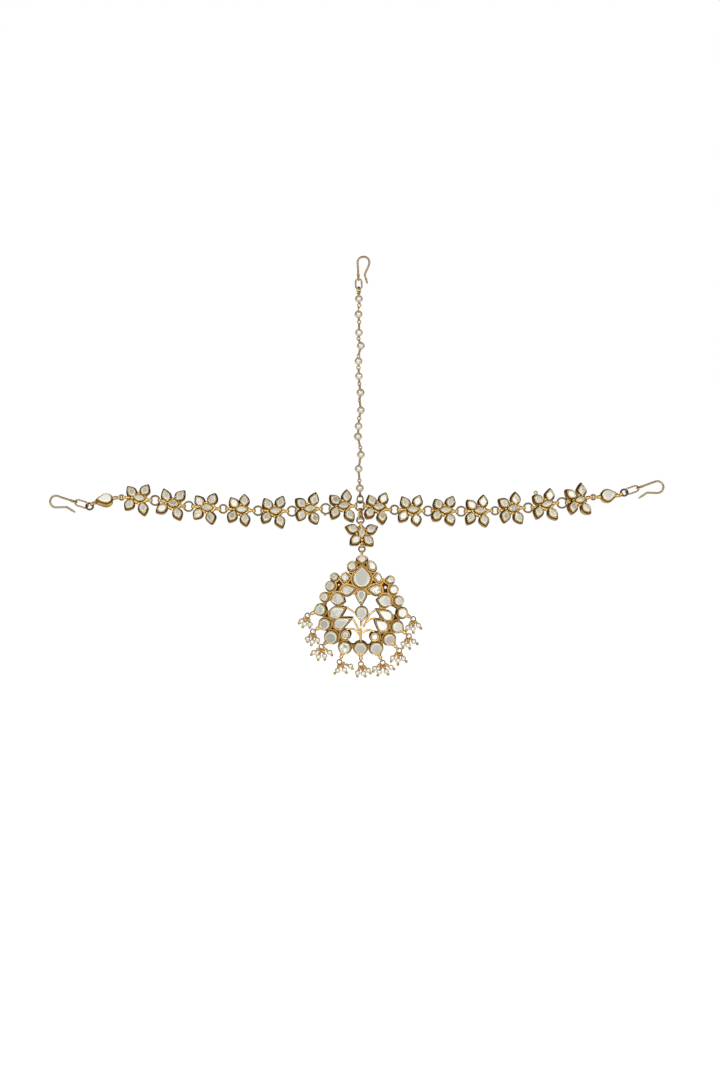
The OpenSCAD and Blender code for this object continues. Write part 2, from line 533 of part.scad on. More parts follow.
module chart_prism(points) {
    translate([0, 0, -12]) linear_extrude(height = 24) polygon([for (p = points) [at(p)[0], at(p)[1]]]);
}
module dome_ball(depth) {
    translate(at(crown, dome_front - dome_radius)) rotate([90, 0, 0]) sphere(r = dome_radius - depth);
}
module plate() {
    difference() {
        intersection() {
            dome_ball(plate_depth);
            chart_prism(plate_edge);
        }
        dome_ball(plate_depth + plate_thick);
        for (o = plate_openings) chart_prism(o);
        for (h = [[337.9, 584, 0.5], [386.3, 586.7, 0.75]])
            translate(at(h, -12)) cylinder(h = 24, r = h[2]);
    }
}
module pendant_frame() {
    color(gold) upright() difference() {
        union() {
            for (d = drops) dome_drop(d, 0, -pendant_depth, 0);
            for (s = panes) dome_pane(s, 1, -pendant_depth, 0);
            plate();
            for (w = wires) {
                for (i = [0:len(w[2]) - 2]) let (p = under(w[2][i], w[1]), q = under(w[2][i + 1], w[1]), e = 0.35 * w[0] * unit(q - p))
                    bar(p + e, q - e, w[0]);
                if (len(w[2]) > 2) for (i = [1:len(w[2]) - 2]) aim(under(w[2][i], w[1]), dome_n(w[2][i]))
                    translate([0, 0, -1.2 * w[0]]) cylinder(h = 2.4 * w[0], r = 1.3 * w[0]);
            }
            for (c = clusters) {
                p = at(c, cluster_z(c)) + cluster_ring * toward(c);
                hoop(p, cross(toward(c), [0, 0, 1]), 0.74, 0.25);
                bar(p + 0.74 * toward(c), at(seat_of(c), dome_z(seat_of(c)) - 2.1), 0.45);
            }
            hoop(at(pendant_loop_at), [1, 0, 0], loop_radius, half_loop);
            bar(at(pendant_loop_at) - [0, loop_radius, 0], under([362, 560.5], 2.3), 0.6);
        }
        for (d = drops) dome_drop(d, d[5], -1, 2);
        for (s = panes) dome_pane(s, pane_seat, -1, 2);
        on_dome([361.6, 626.9]) translate([0, 0, -0.6]) cylinder(h = 3, r = 0.8);
    }
}
module pendant_stones() {
    color(stone) upright() {
        for (d = drops) dome_drop(d, d[5] + stone_gap, -0.95, 0.1);
        for (s = panes) dome_pane(s, pane_seat - 0.03, -0.95, 0.1);
    }
}
module cluster(i) {
    c = clusters[i];
    z = cluster_z(c);
    color(pearl) upright() {
        hoop(at(c, z), [0, 0, 1], cluster_ring, cluster_half);
        for (j = [0:len(c[3]) - 1]) {
            q = c[3][j];
            dz = (j % 2 == 0 ? 0.45 : -0.45);
            start = at(c, z) + cluster_ring * unit([q[0] - c[0], c[1] - q[1], 0]);
            bar(start, at([q[0], q[1]], z + dz), 0.28);
            bar(at([q[0], q[1]], z + dz), at([q[2], q[3]], z + dz), 0.25);
            translate(at([q[0], q[1]], z + dz)) sphere(r = seed_d / 2);
            translate(at([q[2], q[3]], z + dz)) sphere(r = 0.42);
        }
    }
}
module cluster_1() { cluster(0); }
module cluster_2() { cluster(1); }
module cluster_3() { cluster(2); }
module cluster_4() { cluster(3); }
module cluster_5() { cluster(4); }
module cluster_6() { cluster(5); }
module cluster_7() { cluster(6); }
module cluster_8() { cluster(7); }
module cluster_9() { cluster(8); }

module stones_left() {
    color(stone) {
        for (i = [0:6]) stones_of(i);
        end_drop_stone(drop_left);
    }
}
module stones_right() {
    color(stone) {
        for (i = [7:13]) stones_of(i);
        end_drop_stone(drop_right);
    }
}

hook_parting();
hook_left();
hook_right();
link_parting();
top_ring();
parting_chain();
parting_ring();
link_left();
link_right();
jump_left();
jump_right();
teardrop_left();
teardrop_right();
end_ring_left();
end_ring_right();
flower_1();
flower_2();
flower_3();
flower_4();
flower_5();
flower_6();
flower_7();
flower_8();
flower_9();
flower_10();
flower_11();
flower_12();
flower_13();
flower_14();
ring_1();
ring_2();
ring_3();
ring_4();
ring_5();
ring_6();
ring_7();
ring_8();
ring_9();
ring_10();
ring_11();
ring_12();
ring_13();
stones_left();
stones_right();
drop_bail();
drop_link();
drop_flower();
drop_stones();
pendant_ring();
pendant_frame();
pendant_stones();
cluster_1();
cluster_2();
cluster_3();
cluster_4();
cluster_5();
cluster_6();
cluster_7();
cluster_8();
cluster_9();
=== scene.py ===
import math
import random

import bpy
import bmesh
from mathutils import Matrix, Vector, noise
from mathutils.geometry import delaunay_2d_cdt

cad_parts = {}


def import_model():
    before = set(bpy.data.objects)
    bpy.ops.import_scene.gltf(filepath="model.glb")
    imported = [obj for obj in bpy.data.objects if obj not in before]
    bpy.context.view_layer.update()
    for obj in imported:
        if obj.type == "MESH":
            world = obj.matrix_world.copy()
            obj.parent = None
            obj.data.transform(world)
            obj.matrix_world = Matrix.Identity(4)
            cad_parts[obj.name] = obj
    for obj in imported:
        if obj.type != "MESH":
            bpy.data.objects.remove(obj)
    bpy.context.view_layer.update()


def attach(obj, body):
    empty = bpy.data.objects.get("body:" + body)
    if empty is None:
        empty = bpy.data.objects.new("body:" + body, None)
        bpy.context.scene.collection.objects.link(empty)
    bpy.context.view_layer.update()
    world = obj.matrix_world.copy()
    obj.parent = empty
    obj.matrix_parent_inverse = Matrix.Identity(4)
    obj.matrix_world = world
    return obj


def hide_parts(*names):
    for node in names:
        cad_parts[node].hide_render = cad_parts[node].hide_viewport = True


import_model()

# The panel frame is the one of the CAD source: millimetres, x right, y up,
# z towards the viewer. Chart positions use U millimetres a unit.
U = 0.52
TAU = 2 * math.pi


def at(p, z=0.0):
    return Vector(((p[0] - 363.5) * U, (257.5 - p[1]) * U, z))


def flat(mx, my, lean, turn):
    """A point seen at (mx, my) from the middle of a face that leans and turns, laid flat."""
    l, t = math.radians(lean), math.radians(turn)
    y = my / math.cos(l)
    return Vector(((mx + y * math.sin(l) * math.sin(t)) / math.cos(t), y, 0))


def face(p, front, lean, turn):
    return (Matrix.Translation(at(p, front)) @ Matrix.Rotation(math.radians(turn), 4, "Y")
            @ Matrix.Rotation(math.radians(-lean), 4, "X"))


def rot_z(deg):
    return Matrix.Rotation(math.radians(deg), 4, "Z")


def world(v):
    return (v.x / 1000, -v.z / 1000, v.y / 1000)


def wobble(v, scale, amount, seed=0.0):
    """A small smooth unevenness, the same on every run."""
    q = v * scale + Vector((seed, seed * 1.7, -seed))
    return Vector((noise.noise(q), noise.noise(q + Vector((31, 7, 3))), noise.noise(q + Vector((5, 61, 17))))) * amount


# ------------------------------------------------------------------ mesh code
class Shape:
    """Closed shells gathered into one mesh. look is four numbers a vertex, which the materials read."""

    def __init__(self):
        self.v, self.f, self.m, self.look = [], [], [], []

    def loft(self, rings, looks, mat=0, closed=False, caps=(True, True), matrix=None):
        n = len(rings[0])
        base = len(self.v)
        for ring, look in zip(rings, looks):
            for p in ring:
                self.v.append(matrix @ p if matrix is not None else p.copy())
                self.look.append(look)
        count = len(rings)
        for j in range(count if closed else count - 1):
            a, b = base + j * n, base + ((j + 1) % count) * n
            for i in range(n):
                k = (i + 1) % n
                self.f.append((a + i, a + k, b + k, b + i))
                self.m.append(mat)
        if not closed:
            for end, row in ((0, 0), (1, count - 1)):
                if not caps[end]:
                    continue
                c = sum((self.v[base + row * n + i] for i in range(n)), Vector()) / n
                self.v.append(c)
                self.look.append(looks[row])
                k = len(self.v) - 1
                for i in range(n):
                    q = (i + 1) % n
                    a, b = base + row * n + i, base + row * n + q
                    self.f.append((b, a, k) if end == 0 else (a, b, k))
                    self.m.append(mat)

    def tube(self, path, radius, sides=10, closed=False, look=(0.1, 0.5, 0, 0), mat=0, radii=None, looks=None, rounded=True):
        """A wire along the points of path, with rounded ends."""
        pts = [Vector(p) for p in path]
        n = len(pts)
        tans = []
        for i in range(n):
            a = pts[(i - 1) % n] if closed else pts[max(i - 1, 0)]
            b = pts[(i + 1) % n] if closed else pts[min(i + 1, n - 1)]
            tans.append((b - a).normalized())
        up = Vector((0, 0, 1)) if abs(tans[0].z) < 0.9 else Vector((1, 0, 0))
        normal = (up - tans[0] * up.dot(tans[0])).normalized()
        frames = []
        for i in range(n):
            if i:
                q = tans[i - 1].rotation_difference(tans[i])
                normal = q @ normal
                normal = (normal - tans[i] * normal.dot(tans[i])).normalized()
            frames.append((normal.copy(), tans[i].cross(normal).normalized()))
        twist = 0.0
        if closed:
            q = tans[-1].rotation_difference(tans[0])
            last = q @ frames[-1][0]
            twist = math.atan2(last.dot(frames[0][1]), last.dot(frames[0][0]))
        rows, row_looks = [], []
        rs = radii or [radius] * n
        ls = looks or [look] * n

        def row(c, f, r, spin):
            return [c + (f[0] * math.cos(TAU * k / sides + spin) + f[1] * math.sin(TAU * k / sides + spin)) * r
                    for k in range(sides)]
        if not closed and rounded:
            for back, k in ((1.0, 0.12), (0.86, 0.52), (0.5, 0.86)):
                rows.append(row(pts[0] - tans[0] * rs[0] * back, frames[0], rs[0] * k, 0))
                row_looks.append(ls[0])
        for i in range(n):
            rows.append(row(pts[i], frames[i], rs[i], -twist * i / n if closed else 0))
            row_looks.append(ls[i])
        if not closed and rounded:
            for back, k in ((0.5, 0.86), (0.86, 0.52), (1.0, 0.12)):
                rows.append(row(pts[-1] + tans[-1] * rs[-1] * back, frames[-1], rs[-1] * k, 0))
                row_looks.append(ls[-1])
        self.loft(rows, row_looks, mat, closed=closed)

    def hoop(self, centre, axis, radius, half, sides=10, steps=32, look=(0.1, 0.5, 0, 0), mat=0, seam=None, uneven=0.02):
        """A wire ring; seam is the angle of its soldered joint."""
        n = Vector(axis).normalized()
        a = n.orthogonal().normalized()
        b = n.cross(a)
        path, radii = [], []
        for i in range(steps):
            t = TAU * i / steps
            p = Vector(centre) + (a * math.cos(t) + b * math.sin(t)) * radius
            path.append(p + wobble(p, 0.9, uneven))
            swell = 0.0
            if seam is not None:
                d = abs((t - seam + math.pi) % TAU - math.pi)
                swell = 0.10 * math.exp(-(d / 0.22) ** 2)
            radii.append(half * (1 + swell))
        self.tube(path, half, sides, closed=True, look=look, mat=mat, radii=radii)

    def ball(self, centre, r, axis=(0, 0, 1), rings=10, sides=16, look=(0.0, 0.5, 0, 0), mat=0, squash=1.0, hole=0.0):
        """A bead on an axis, with a small dimple where its wire goes through."""
        m = Vector((0, 0, 1)).rotation_difference(Vector(axis).normalized()).to_matrix().to_4x4()
        m = Matrix.Translation(Vector(centre)) @ m
        rows, looks = [], []
        first = math.asin(min(0.9, hole / r)) if hole else 0.06
        # The dimple rows get a first look number of 1.0 and the end rows 0.7: painted shade around the holes.
        if hole:
            rows.append([Vector((math.cos(TAU * k / sides) * hole * 0.6, math.sin(TAU * k / sides) * hole * 0.6,
                                 -r * math.cos(first) * squash + 0.12 * r)) for k in range(sides)])
            looks.append((1.0, look[1], look[2], look[3]))
        for j in range(rings + 1):
            t = first + (math.pi - 2 * first) * j / rings
            s, c = math.sin(t) * r, -math.cos(t) * r * squash
            rows.append([Vector((math.cos(TAU * k / sides) * s, math.sin(TAU * k / sides) * s, c)) for k in range(sides)])
            edge = 1.0 if hole and j in (0, rings) else 0.0
            looks.append((max(look[0], edge * 0.7), look[1], look[2], look[3]))
        if hole:
            rows.append([Vector((math.cos(TAU * k / sides) * hole * 0.6, math.sin(TAU * k / sides) * hole * 0.6,
                                 r * math.cos(first) * squash - 0.12 * r)) for k in range(sides)])
            looks.append((1.0, look[1], look[2], look[3]))
        self.loft(rows, looks, mat, matrix=m)

    def coil(self, start, direction, length, radius, half, turns, look=(0.3, 0.5, 0, 0), mat=0, sides=7, taper=0.0):
        d = Vector(direction).normalized()
        a = d.orthogonal().normalized()
        b = d.cross(a)
        n = max(6, int(turns * 11))
        path = []
        for i in range(n + 1):
            t = i / n
            w = TAU * turns * t
            rr = radius * (1 - taper * t)
            path.append(Vector(start) + d * (length * t) + (a * math.cos(w) + b * math.sin(w)) * rr)
        self.tube(path, half, sides, look=look, mat=mat)


def stadium(p, q, radius, steps=10):
    """Mid wire of a long link from p to q (its far ends), in its own plane x along, y across."""
    half = (q - p) / 2 - radius
    out = []
    for i in range(steps + 1):
        t = -math.pi / 2 + math.pi * i / steps
        out.append(Vector((half + radius * math.cos(t), radius * math.sin(t), 0)))
    for i in range(1, 5):
        out.append(Vector((half - 2 * half * i / 5, radius, 0)))
    for i in range(steps + 1):
        t = math.pi / 2 + math.pi * i / steps
        out.append(Vector((-half + radius * math.cos(t), radius * math.sin(t), 0)))
    for i in range(1, 5):
        out.append(Vector((-half + 2 * half * i / 5, -radius, 0)))
    return out


PIECES = []


def piece(name, shape, mats, body, nodes, sharp=38.0):
    me = bpy.data.meshes.new(name)
    me.from_pydata([world(v) for v in shape.v], [], shape.f)
    for m in mats:
        me.materials.append(m)
    me.polygons.foreach_set("material_index", shape.m)
    bm = bmesh.new()
    bm.from_mesh(me)
    bmesh.ops.recalc_face_normals(bm, faces=bm.faces)
    bm.to_mesh(me)
    bm.free()
    att = me.attributes.new("look", "FLOAT_COLOR", "POINT")
    att.data.foreach_set("color", [c for look in shape.look for c in look])
    me.shade_smooth()
    me.set_sharp_from_angle(angle=math.radians(sharp))
    me.update()
    ob = bpy.data.objects.new(name, me)
    bpy.context.scene.collection.objects.link(ob)
    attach(ob, body)
    if nodes:
        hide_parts(*nodes)
    PIECES.append(ob)
    return ob


# ------------------------------------------------------------------ materials
class Nodes:
    def __init__(self, name):
        self.mat = bpy.data.materials.new(name)
        self.mat.use_nodes = True
        self.tree = self.mat.node_tree
        self.shader = self.tree.nodes["Principled BSDF"]

    def new(self, kind, **values):
        n = self.tree.nodes.new(kind)
        for k, v in values.items():
            if k.startswith("in_"):
                n.inputs[k[3:].replace("_", " ")].default_value = v
            else:
                setattr(n, k, v)
        return n

    def link(self, a, b):
        self.tree.links.new(a, b)

    def set(self, **values):
        for k, v in values.items():
            self.shader.inputs[k.replace("_", " ")].default_value = v

    def look(self):
        """The look attribute's four numbers."""
        a = self.new("ShaderNodeAttribute", attribute_name="look")
        s = self.new("ShaderNodeSeparateColor")
        self.link(a.outputs["Color"], s.inputs[0])
        return s.outputs[0], s.outputs[1], s.outputs[2], a.outputs["Alpha"]

    def place(self):
        return self.new("ShaderNodeTexCoord").outputs["Object"]

    def noise(self, where, scale, detail=3.0, rough=0.55, distortion=0.0):
        n = self.new("ShaderNodeTexNoise", in_Scale=scale, in_Detail=detail, in_Roughness=rough, in_Distortion=distortion)
        self.link(where, n.inputs["Vector"])
        return n.outputs[0]

    def span(self, value, a, b, c=0.0, d=1.0):
        n = self.new("ShaderNodeMapRange")
        n.inputs[1].default_value, n.inputs[2].default_value = a, b
        n.inputs[3].default_value, n.inputs[4].default_value = c, d
        self.link(value, n.inputs[0])
        return n.outputs[0]

    def math(self, op, a, b):
        n = self.new("ShaderNodeMath", operation=op)
        for i, x in enumerate((a, b)):
            if isinstance(x, (int, float)):
                n.inputs[i].default_value = x
            else:
                self.link(x, n.inputs[i])
        n.use_clamp = True
        return n.outputs[0]

    def mix(self, fac, a, b):
        n = self.new("ShaderNodeMix", data_type="RGBA")
        for i, x in ((0, fac), (6, a), (7, b)):
            if isinstance(x, (int, float)):
                n.inputs[i].default_value = x
            elif isinstance(x, tuple):
                n.inputs[i].default_value = (*x, 1.0)
            else:
                self.link(x, n.inputs[i])
        return n.outputs[2]

    def bump(self, height, strength, distance):
        n = self.new("ShaderNodeBump", in_Strength=strength, in_Distance=distance)
        self.link(height, n.inputs["Height"])
        self.link(n.outputs[0], self.shader.inputs["Normal"])


def gold_material(name, bright, mid, recess, low=0.16, high=0.34):
    n = Nodes(name)
    deep, warm, dull, painted_highlight = n.look()
    where = n.place()
    cloud = n.span(n.noise(where, 260, 3, 0.6), 0.35, 0.68)
    base = n.mix(cloud, bright, mid)
    base = n.mix(n.math("MULTIPLY", warm, 0.55), base, (0.78, 0.34, 0.08))
    # painted_highlight lightens the colour to cream: a painted highlight.
    base = n.mix(painted_highlight, base, (1.0, 0.89, 0.60))
    # deep darkens the colour towards recess, with a noise grain: painted shade in recesses, on walls and on the dark
    # outlines of rims, partly also the patina of the hollows.
    shade_noise = n.span(n.noise(where, 900, 2, 0.6), 0.3, 0.7, -0.18, 0.18)
    depth = n.math("ADD", deep, n.math("MULTIPLY", shade_noise, deep))
    base = n.mix(depth, base, recess)
    n.link(base, n.shader.inputs["Base Color"])
    fine = n.noise(where, 1500, 3, 0.6)
    rough = n.math("ADD", n.span(fine, 0.3, 0.7, low, high), n.math("MULTIPLY", n.math("MAXIMUM", depth, dull), 0.3))
    n.link(rough, n.shader.inputs["Roughness"])
    n.set(Metallic=1.0)
    n.bump(n.math("ADD", n.math("MULTIPLY", fine, 0.5), n.math("MULTIPLY", n.noise(where, 420, 2, 0.5), 0.5)), 0.45, 0.00012)
    return n.mat


def wire_material(name, bright, mid, low=0.2, high=0.36):
    n = Nodes(name)
    deep, warm, _, _ = n.look()
    where = n.place()
    base = n.mix(n.span(n.noise(where, 420, 3, 0.6), 0.35, 0.65), bright, mid)
    base = n.mix(n.math("MULTIPLY", deep, 0.8), base, (0.16, 0.09, 0.035))
    n.link(base, n.shader.inputs["Base Color"])
    fine = n.noise(where, 2200, 2, 0.6)
    n.link(n.span(fine, 0.3, 0.7, low, high), n.shader.inputs["Roughness"])
    n.set(Metallic=1.0)
    n.bump(fine, 0.3, 0.00006)
    return n.mat


def stone_material(name):
    """Pale uncut stone over foil: a greyish table, a cream bevel whose colour is a painted reflection, cloudy inside.
    """
    n = Nodes(name)
    bevel, white, brown, mottle = n.look()
    where = n.place()
    table = n.mix(white, (0.24, 0.245, 0.205), (0.80, 0.805, 0.76))
    table = n.mix(brown, table, (0.42, 0.34, 0.27))
    cloud = n.noise(where, 330, 4, 0.6, 0.6)
    table = n.mix(n.span(cloud, 0.42, 0.72, 0.0, 0.18), table, (0.66, 0.66, 0.60))
    table = n.mix(n.span(n.noise(where, 620, 3, 0.6, 1.2), 0.5, 0.74, 0.0, 0.3), table, (0.30, 0.30, 0.27))
    streak = n.span(n.noise(where, 420, 3, 0.55, 2.2), 0.50, 0.60)
    table = n.mix(n.math("MULTIPLY", streak, mottle), table, (0.16, 0.165, 0.16))
    light = n.span(n.noise(where, 520, 2, 0.5, 1.6), 0.52, 0.62)
    table = n.mix(n.math("MULTIPLY", light, n.math("MULTIPLY", mottle, 0.9)), table, (0.95, 0.95, 0.93))
    # the cream edge colour on the bevel is a painted reflection
    edge = n.mix(n.span(cloud, 0.3, 0.75), (0.72, 0.66, 0.47), (0.88, 0.85, 0.72))
    base = n.mix(bevel, table, edge)
    n.link(base, n.shader.inputs["Base Color"])
    n.link(n.span(cloud, 0.3, 0.7, 0.07, 0.2), n.shader.inputs["Roughness"])
    n.set(IOR=1.56, Coat_Weight=0.35, Coat_Roughness=0.05, Subsurface_Weight=0.0)
    n.bump(n.noise(where, 700, 2, 0.5), 0.25, 0.00008)
    return n.mat


def pearl_material(name):
    n = Nodes(name)
    deep, tone, _, _ = n.look()
    where = n.place()
    base = n.mix(n.span(n.noise(where, 500, 3, 0.55), 0.35, 0.68), (0.66, 0.57, 0.40), (0.52, 0.43, 0.28))
    base = n.mix(n.math("MULTIPLY", tone, 0.8), base, (0.84, 0.80, 0.68))
    # deep darkens to brown: painted shade around the drill holes.
    base = n.mix(deep, base, (0.22, 0.12, 0.05))
    n.link(base, n.shader.inputs["Base Color"])
    n.link(n.span(n.noise(where, 1400, 2, 0.5), 0.3, 0.7, 0.2, 0.34), n.shader.inputs["Roughness"])
    n.set(IOR=1.7, Metallic=0.5, Coat_Weight=1.0, Coat_Roughness=0.06, Coat_IOR=1.9)
    n.bump(n.noise(where, 900, 2, 0.5), 0.15, 0.00006)
    return n.mat


GOLD = gold_material("gold_plate", (0.96, 0.72, 0.27), (0.88, 0.58, 0.15), (0.10, 0.04, 0.008))
WARM = gold_material("gold_wire_warm", (0.94, 0.67, 0.23), (0.82, 0.48, 0.12), (0.12, 0.042, 0.012), 0.2, 0.36)
BRASS = wire_material("hook_brass", (0.66, 0.48, 0.24), (0.48, 0.32, 0.14))
DARK = wire_material("dark_wire", (0.12, 0.08, 0.04), (0.05, 0.032, 0.015), 0.28, 0.42)
STONE = stone_material("pale_stone")
PEARL = pearl_material("cream_pearl")


# ------------------------------------------------------------------ outlines
def drop_outline(r, tip, back=0.0, bulge=0.035, arc_steps=13, side_steps=6, blunt=0.3):
    """Points of a pointed oval about the middle of its round; call it with an inset."""
    a = math.acos(min(0.999, r / tip))
    double = back > r * 1.06
    b = math.acos(min(0.999, r / back)) if double else 0.0
    half = []

    def side(p0, p1):
        d = p1 - p0
        nrm = Vector((-d.y, d.x, 0)).normalized()
        if nrm.dot((p0 + p1) / 2) < 0:
            nrm = -nrm
        for i in range(1, side_steps):
            t = i / side_steps
            half.append(p0 + d * t + nrm * (bulge * 4 * t * (1 - t) * d.length))
    p_tip, p_a = Vector((tip, 0, 0)), Vector((r * math.cos(a), r * math.sin(a), 0))
    p_0 = p_tip + (p_a - p_tip).normalized() * blunt
    flip = Vector((p_0.x, -p_0.y, 0))

    def nose(t):
        return flip * (1 - t) ** 2 + p_tip * (2 * t * (1 - t)) + p_0 * t * t
    half += [nose(0.66), nose(0.83), p_0]
    side(p_0, p_a)
    end = math.pi - b
    for i in range(arc_steps + 1):
        t = a + (end - a) * i / arc_steps
        half.append(Vector((r * math.cos(t), r * math.sin(t), 0)))
    if double:
        p_back = Vector((-back, 0, 0))
        side(Vector((r * math.cos(end), r * math.sin(end), 0)), p_back)
        half.append(p_back + Vector((0.10, 0.13, 0)))
    pts = [nose(0.5)] + half
    if double:
        pts.append(Vector((-back + 0.03, 0, 0)))
        rest = half
    else:
        rest = half[:-1]
    pts += [Vector((p.x, -p.y, 0)) for p in reversed(rest)]
    return lambda d: [p * ((r - d) / r) for p in pts]


def round_outline(r, steps=40):
    return lambda d: [Vector((math.cos(TAU * i / steps), math.sin(TAU * i / steps), 0)) * (r - d) for i in range(steps)]


def lens_outline(half_l, half_w, steps=16):
    big = (half_l ** 2 + half_w ** 2) / (2 * half_w)
    off = big - half_w

    def make(d):
        r = big - d
        a = math.acos(min(0.9999, off / r))
        out = []
        for s in (1, -1):
            for i in range(steps):
                t = math.pi / 2 - a + 2 * a * i / steps
                out.append(Vector((math.cos(t) * r, math.sin(t) * r - off, 0)) * s)
        return out
    return make


def pane_outline(points, fillet=0.5):
    """A flat polygon with small rounded corners, about the origin."""
    n = len(points)
    pts = []
    for i in range(n):
        p, a, b = points[i], points[i - 1], points[(i + 1) % n]
        da, db = (a - p), (b - p)
        ka = p + da.normalized() * min(fillet, 0.36 * da.length)
        kb = p + db.normalized() * min(fillet, 0.36 * db.length)
        for t in (0.0, 0.25, 0.5, 0.75, 1.0):
            pts.append(ka * (1 - t) ** 2 + p * (2 * t * (1 - t)) + kb * t * t)
        nb = points[(i + 1) % n]
        nxt = points[(i + 2) % n]
        kn = nb + (p - nb).normalized() * min(fillet, 0.36 * (p - nb).length)
        for t in (0.33, 0.67):
            pts.append(kb.lerp(kn, t))
    area = sum(points[i].x * points[(i + 1) % n].y - points[(i + 1) % n].x * points[i].y for i in range(n)) / 2
    round_len = sum((points[i] - points[(i + 1) % n]).length for i in range(n))
    r = 2 * abs(area) / round_len
    pts = [p * 1.10 for p in pts]
    return lambda d: [p * ((r - d) / r) for p in pts]


def bezel(shape, outline, m, top=0.0, bottom=-3.0, lip=0.6, seed=0.0, recess=1.0, back=0.5, wall=0.75, crest=0.0, dark=0.0, crest_highlight=0.0, redden=0.3,
          shade=0.0):
    """A soldered box setting: straight wall, rounded rim, lip burnished down onto the stone."""
    tall = top - bottom
    # The rows' deep numbers paint shade: walls darkened (back at the foot, wall up the side), a dark outer outline
    # whose width grows with dark (a painted dark reflection), and a dark ring inside the lip whose width grows with
    # shade (a painted shadow). crest_highlight puts a painted cream highlight on the crest, and redden makes the shaded
    # rows redder.
    rows = [(0.20, bottom, back, 0), (0.05, bottom + 0.05, back, 0), (0.0, bottom + 0.2, 0.9, 0), (0.0, bottom + 0.5, max(wall, 0.7), 0),
            (0.0, bottom + tall * 0.3, wall, 0), (0.0, bottom + tall * 0.5, wall, 0), (0.0, top - 1.15, min(0.8, wall + 0.1), 0)]
    inner = (lip - dark - shade) / 0.92
    outer = (dark + 0.31 * inner) / 0.31
    for d, z, deep in ((0.03, -0.86, 0.85), (0.12, -0.60, 0.92), (0.22, -0.36, 0.88), (0.31, -0.18, 0.6), (0.39, -0.06, 0.25),
                       (0.48, 0.0, 0.0), (0.56, 0.015, 0.0), (0.65, -0.02, 0.0), (0.74, -0.10, 0.22), (0.82, -0.23, 0.6), (0.88, -0.38, 0.95)):
        rows.append((d * outer if d < 0.32 else dark + d * inner + shade * max(0.0, d - 0.65) / 0.27, top + z, max(deep, crest),
                     crest_highlight if 0.35 < d < 0.76 else 0))
    rows += [(lip, top - 0.55, 1.0, 0), (lip + 0.03, top - 0.7, 1.0, 0), (lip + 0.03, top - 0.9, 1.0, 0)]
    rings, looks = [], []
    for d, z, deep, painted_highlight in rows:
        ring = []
        for p in outline(d):
            q = Vector((p.x, p.y, z))
            w = wobble(m @ q, 0.55, 0.05, seed)
            ring.append(q + Vector((w.x, w.y, w.z * 0.5)))
        rings.append(ring)
        looks.append((min(1.0, deep * recess), 0.15 + redden * min(1.0, deep + 0.3), 0.0, painted_highlight))
    shape.loft(rings, looks, 0, matrix=m)


def gem(shape, outline, m, top=0.0, lip=0.6, bevel=0.42, tone=(0.5, 0.0, 0.0), seed=0.0):
    white, brown, mottle = tone
    # The first look number puts the cream painted reflection on the sides (1.0) and the bevel (0.85), none on the
    # table.
    rows = [(lip + 0.06, top - 0.84, 1.0), (lip + 0.0, top - 0.5, 1.0), (lip + 0.0, top - 0.22, 1.0), (lip + 0.05, top - 0.155, 1.0),
            (lip + bevel, top + 0.065, 0.85), (lip + bevel + 0.07, top + 0.09, 0.0)]
    rings, looks = [], []
    rnd = random.Random(int(seed * 977) + 5)
    tilt = Vector((rnd.uniform(-0.018, 0.018), rnd.uniform(-0.018, 0.018)))
    for d, z, b in rows:
        ring = []
        for p in outline(d):
            q = Vector((p.x, p.y, z + (tilt.x * p.x + tilt.y * p.y if z > top - 0.2 else 0)))
            if z > top - 0.2:
                w = wobble(m @ q, 1.1, 0.07, seed + 3)
                q += Vector((w.x, w.y, w.z * 0.25))
            ring.append(q)
        rings.append(ring)
        looks.append((b, white, brown, mottle))
    last = outline(lip + bevel + 0.07)
    for k, z in ((0.66, 0.105), (0.33, 0.115)):
        rings.append([Vector((p.x * k, p.y * k, top + z + tilt.x * p.x * k + tilt.y * p.y * k)) for p in last])
        looks.append((0.0, white, brown, mottle))
    shape.loft(rings, looks, 0, matrix=m)


# ------------------------------------------------------------------ flowers
LEAF_R = 5.5 * U
MARQUISE = lens_outline(6.8 * U, 4.2 * U)
LEAF_ROOTS = [(-4.8, -1.9), (2.8, -3.5), (-6.5, 1.8), (2.5, 4.2)]
FLOWERS = [
    (139.5, 497.8, (127.2, 485.4), (148.7, 483.7), (125.6, 509.3), (145.2, 515.2), -7, 15, 0),
    (173.2, 503.3, (163.2, 487.4), (185.2, 489.6), (156.3, 511.4), (180.6, 519.3), -4.6, 20, 0),
    (207.2, 507.4, (195, 495.2), (215.4, 492.8), (194, 519.2), (211.6, 524.5), -2.4, 5, -8),
    (241.6, 509.1, (230.4, 496.4), (244.5, 493), (229.4, 521.4), (246.8, 525.6), 0, 18, 3),
    (275.5, 510.6, (264.2, 497.2), (283.6, 494.9), (263.7, 522.3), (283.4, 527.4), 0, 18, 10),
    (310, 508.4, (296.4, 498.3), (316.6, 491.7), (299.7, 520.9), (317.6, 524.4), 4.9, 5, 15),
    (344, 505.1, (330, 494.2), (347, 488.3), (332.8, 518.2), (353.9, 520.7), 6.1, 20, 10),
    (378.9, 506.5, (368.9, 493.8), (386.6, 491.3), (367, 516.9), (383.5, 523), -1.6, 25, 12),
    (413, 509.3, (401.8, 495.2), (420.4, 494), (399.5, 520.9), (417.6, 525.2), -1.5, 20, 5),
    (445.8, 509.9, (435.1, 498), (453.9, 495), (433.9, 519.6), (453.4, 524.4), -2.5, 20, 12),
    (480.1, 510.3, (466.9, 499), (483.9, 493.6), (467.4, 523.8), (486.4, 526), 0, 18, 10),
    (513.3, 508, (498.5, 498.9), (515.7, 491.2), (504.4, 523.2), (522.4, 523.8), 10, 5, 12),
    (547, 503.9, (533.2, 494.6), (550.8, 487.1), (537, 518.3), (557.6, 519), 9, 18, 15),
    (580.3, 499.4, (565.9, 488.6), (581.9, 481.4), (572.4, 513.4), (591.4, 513), 6.8, 20, 22),
]
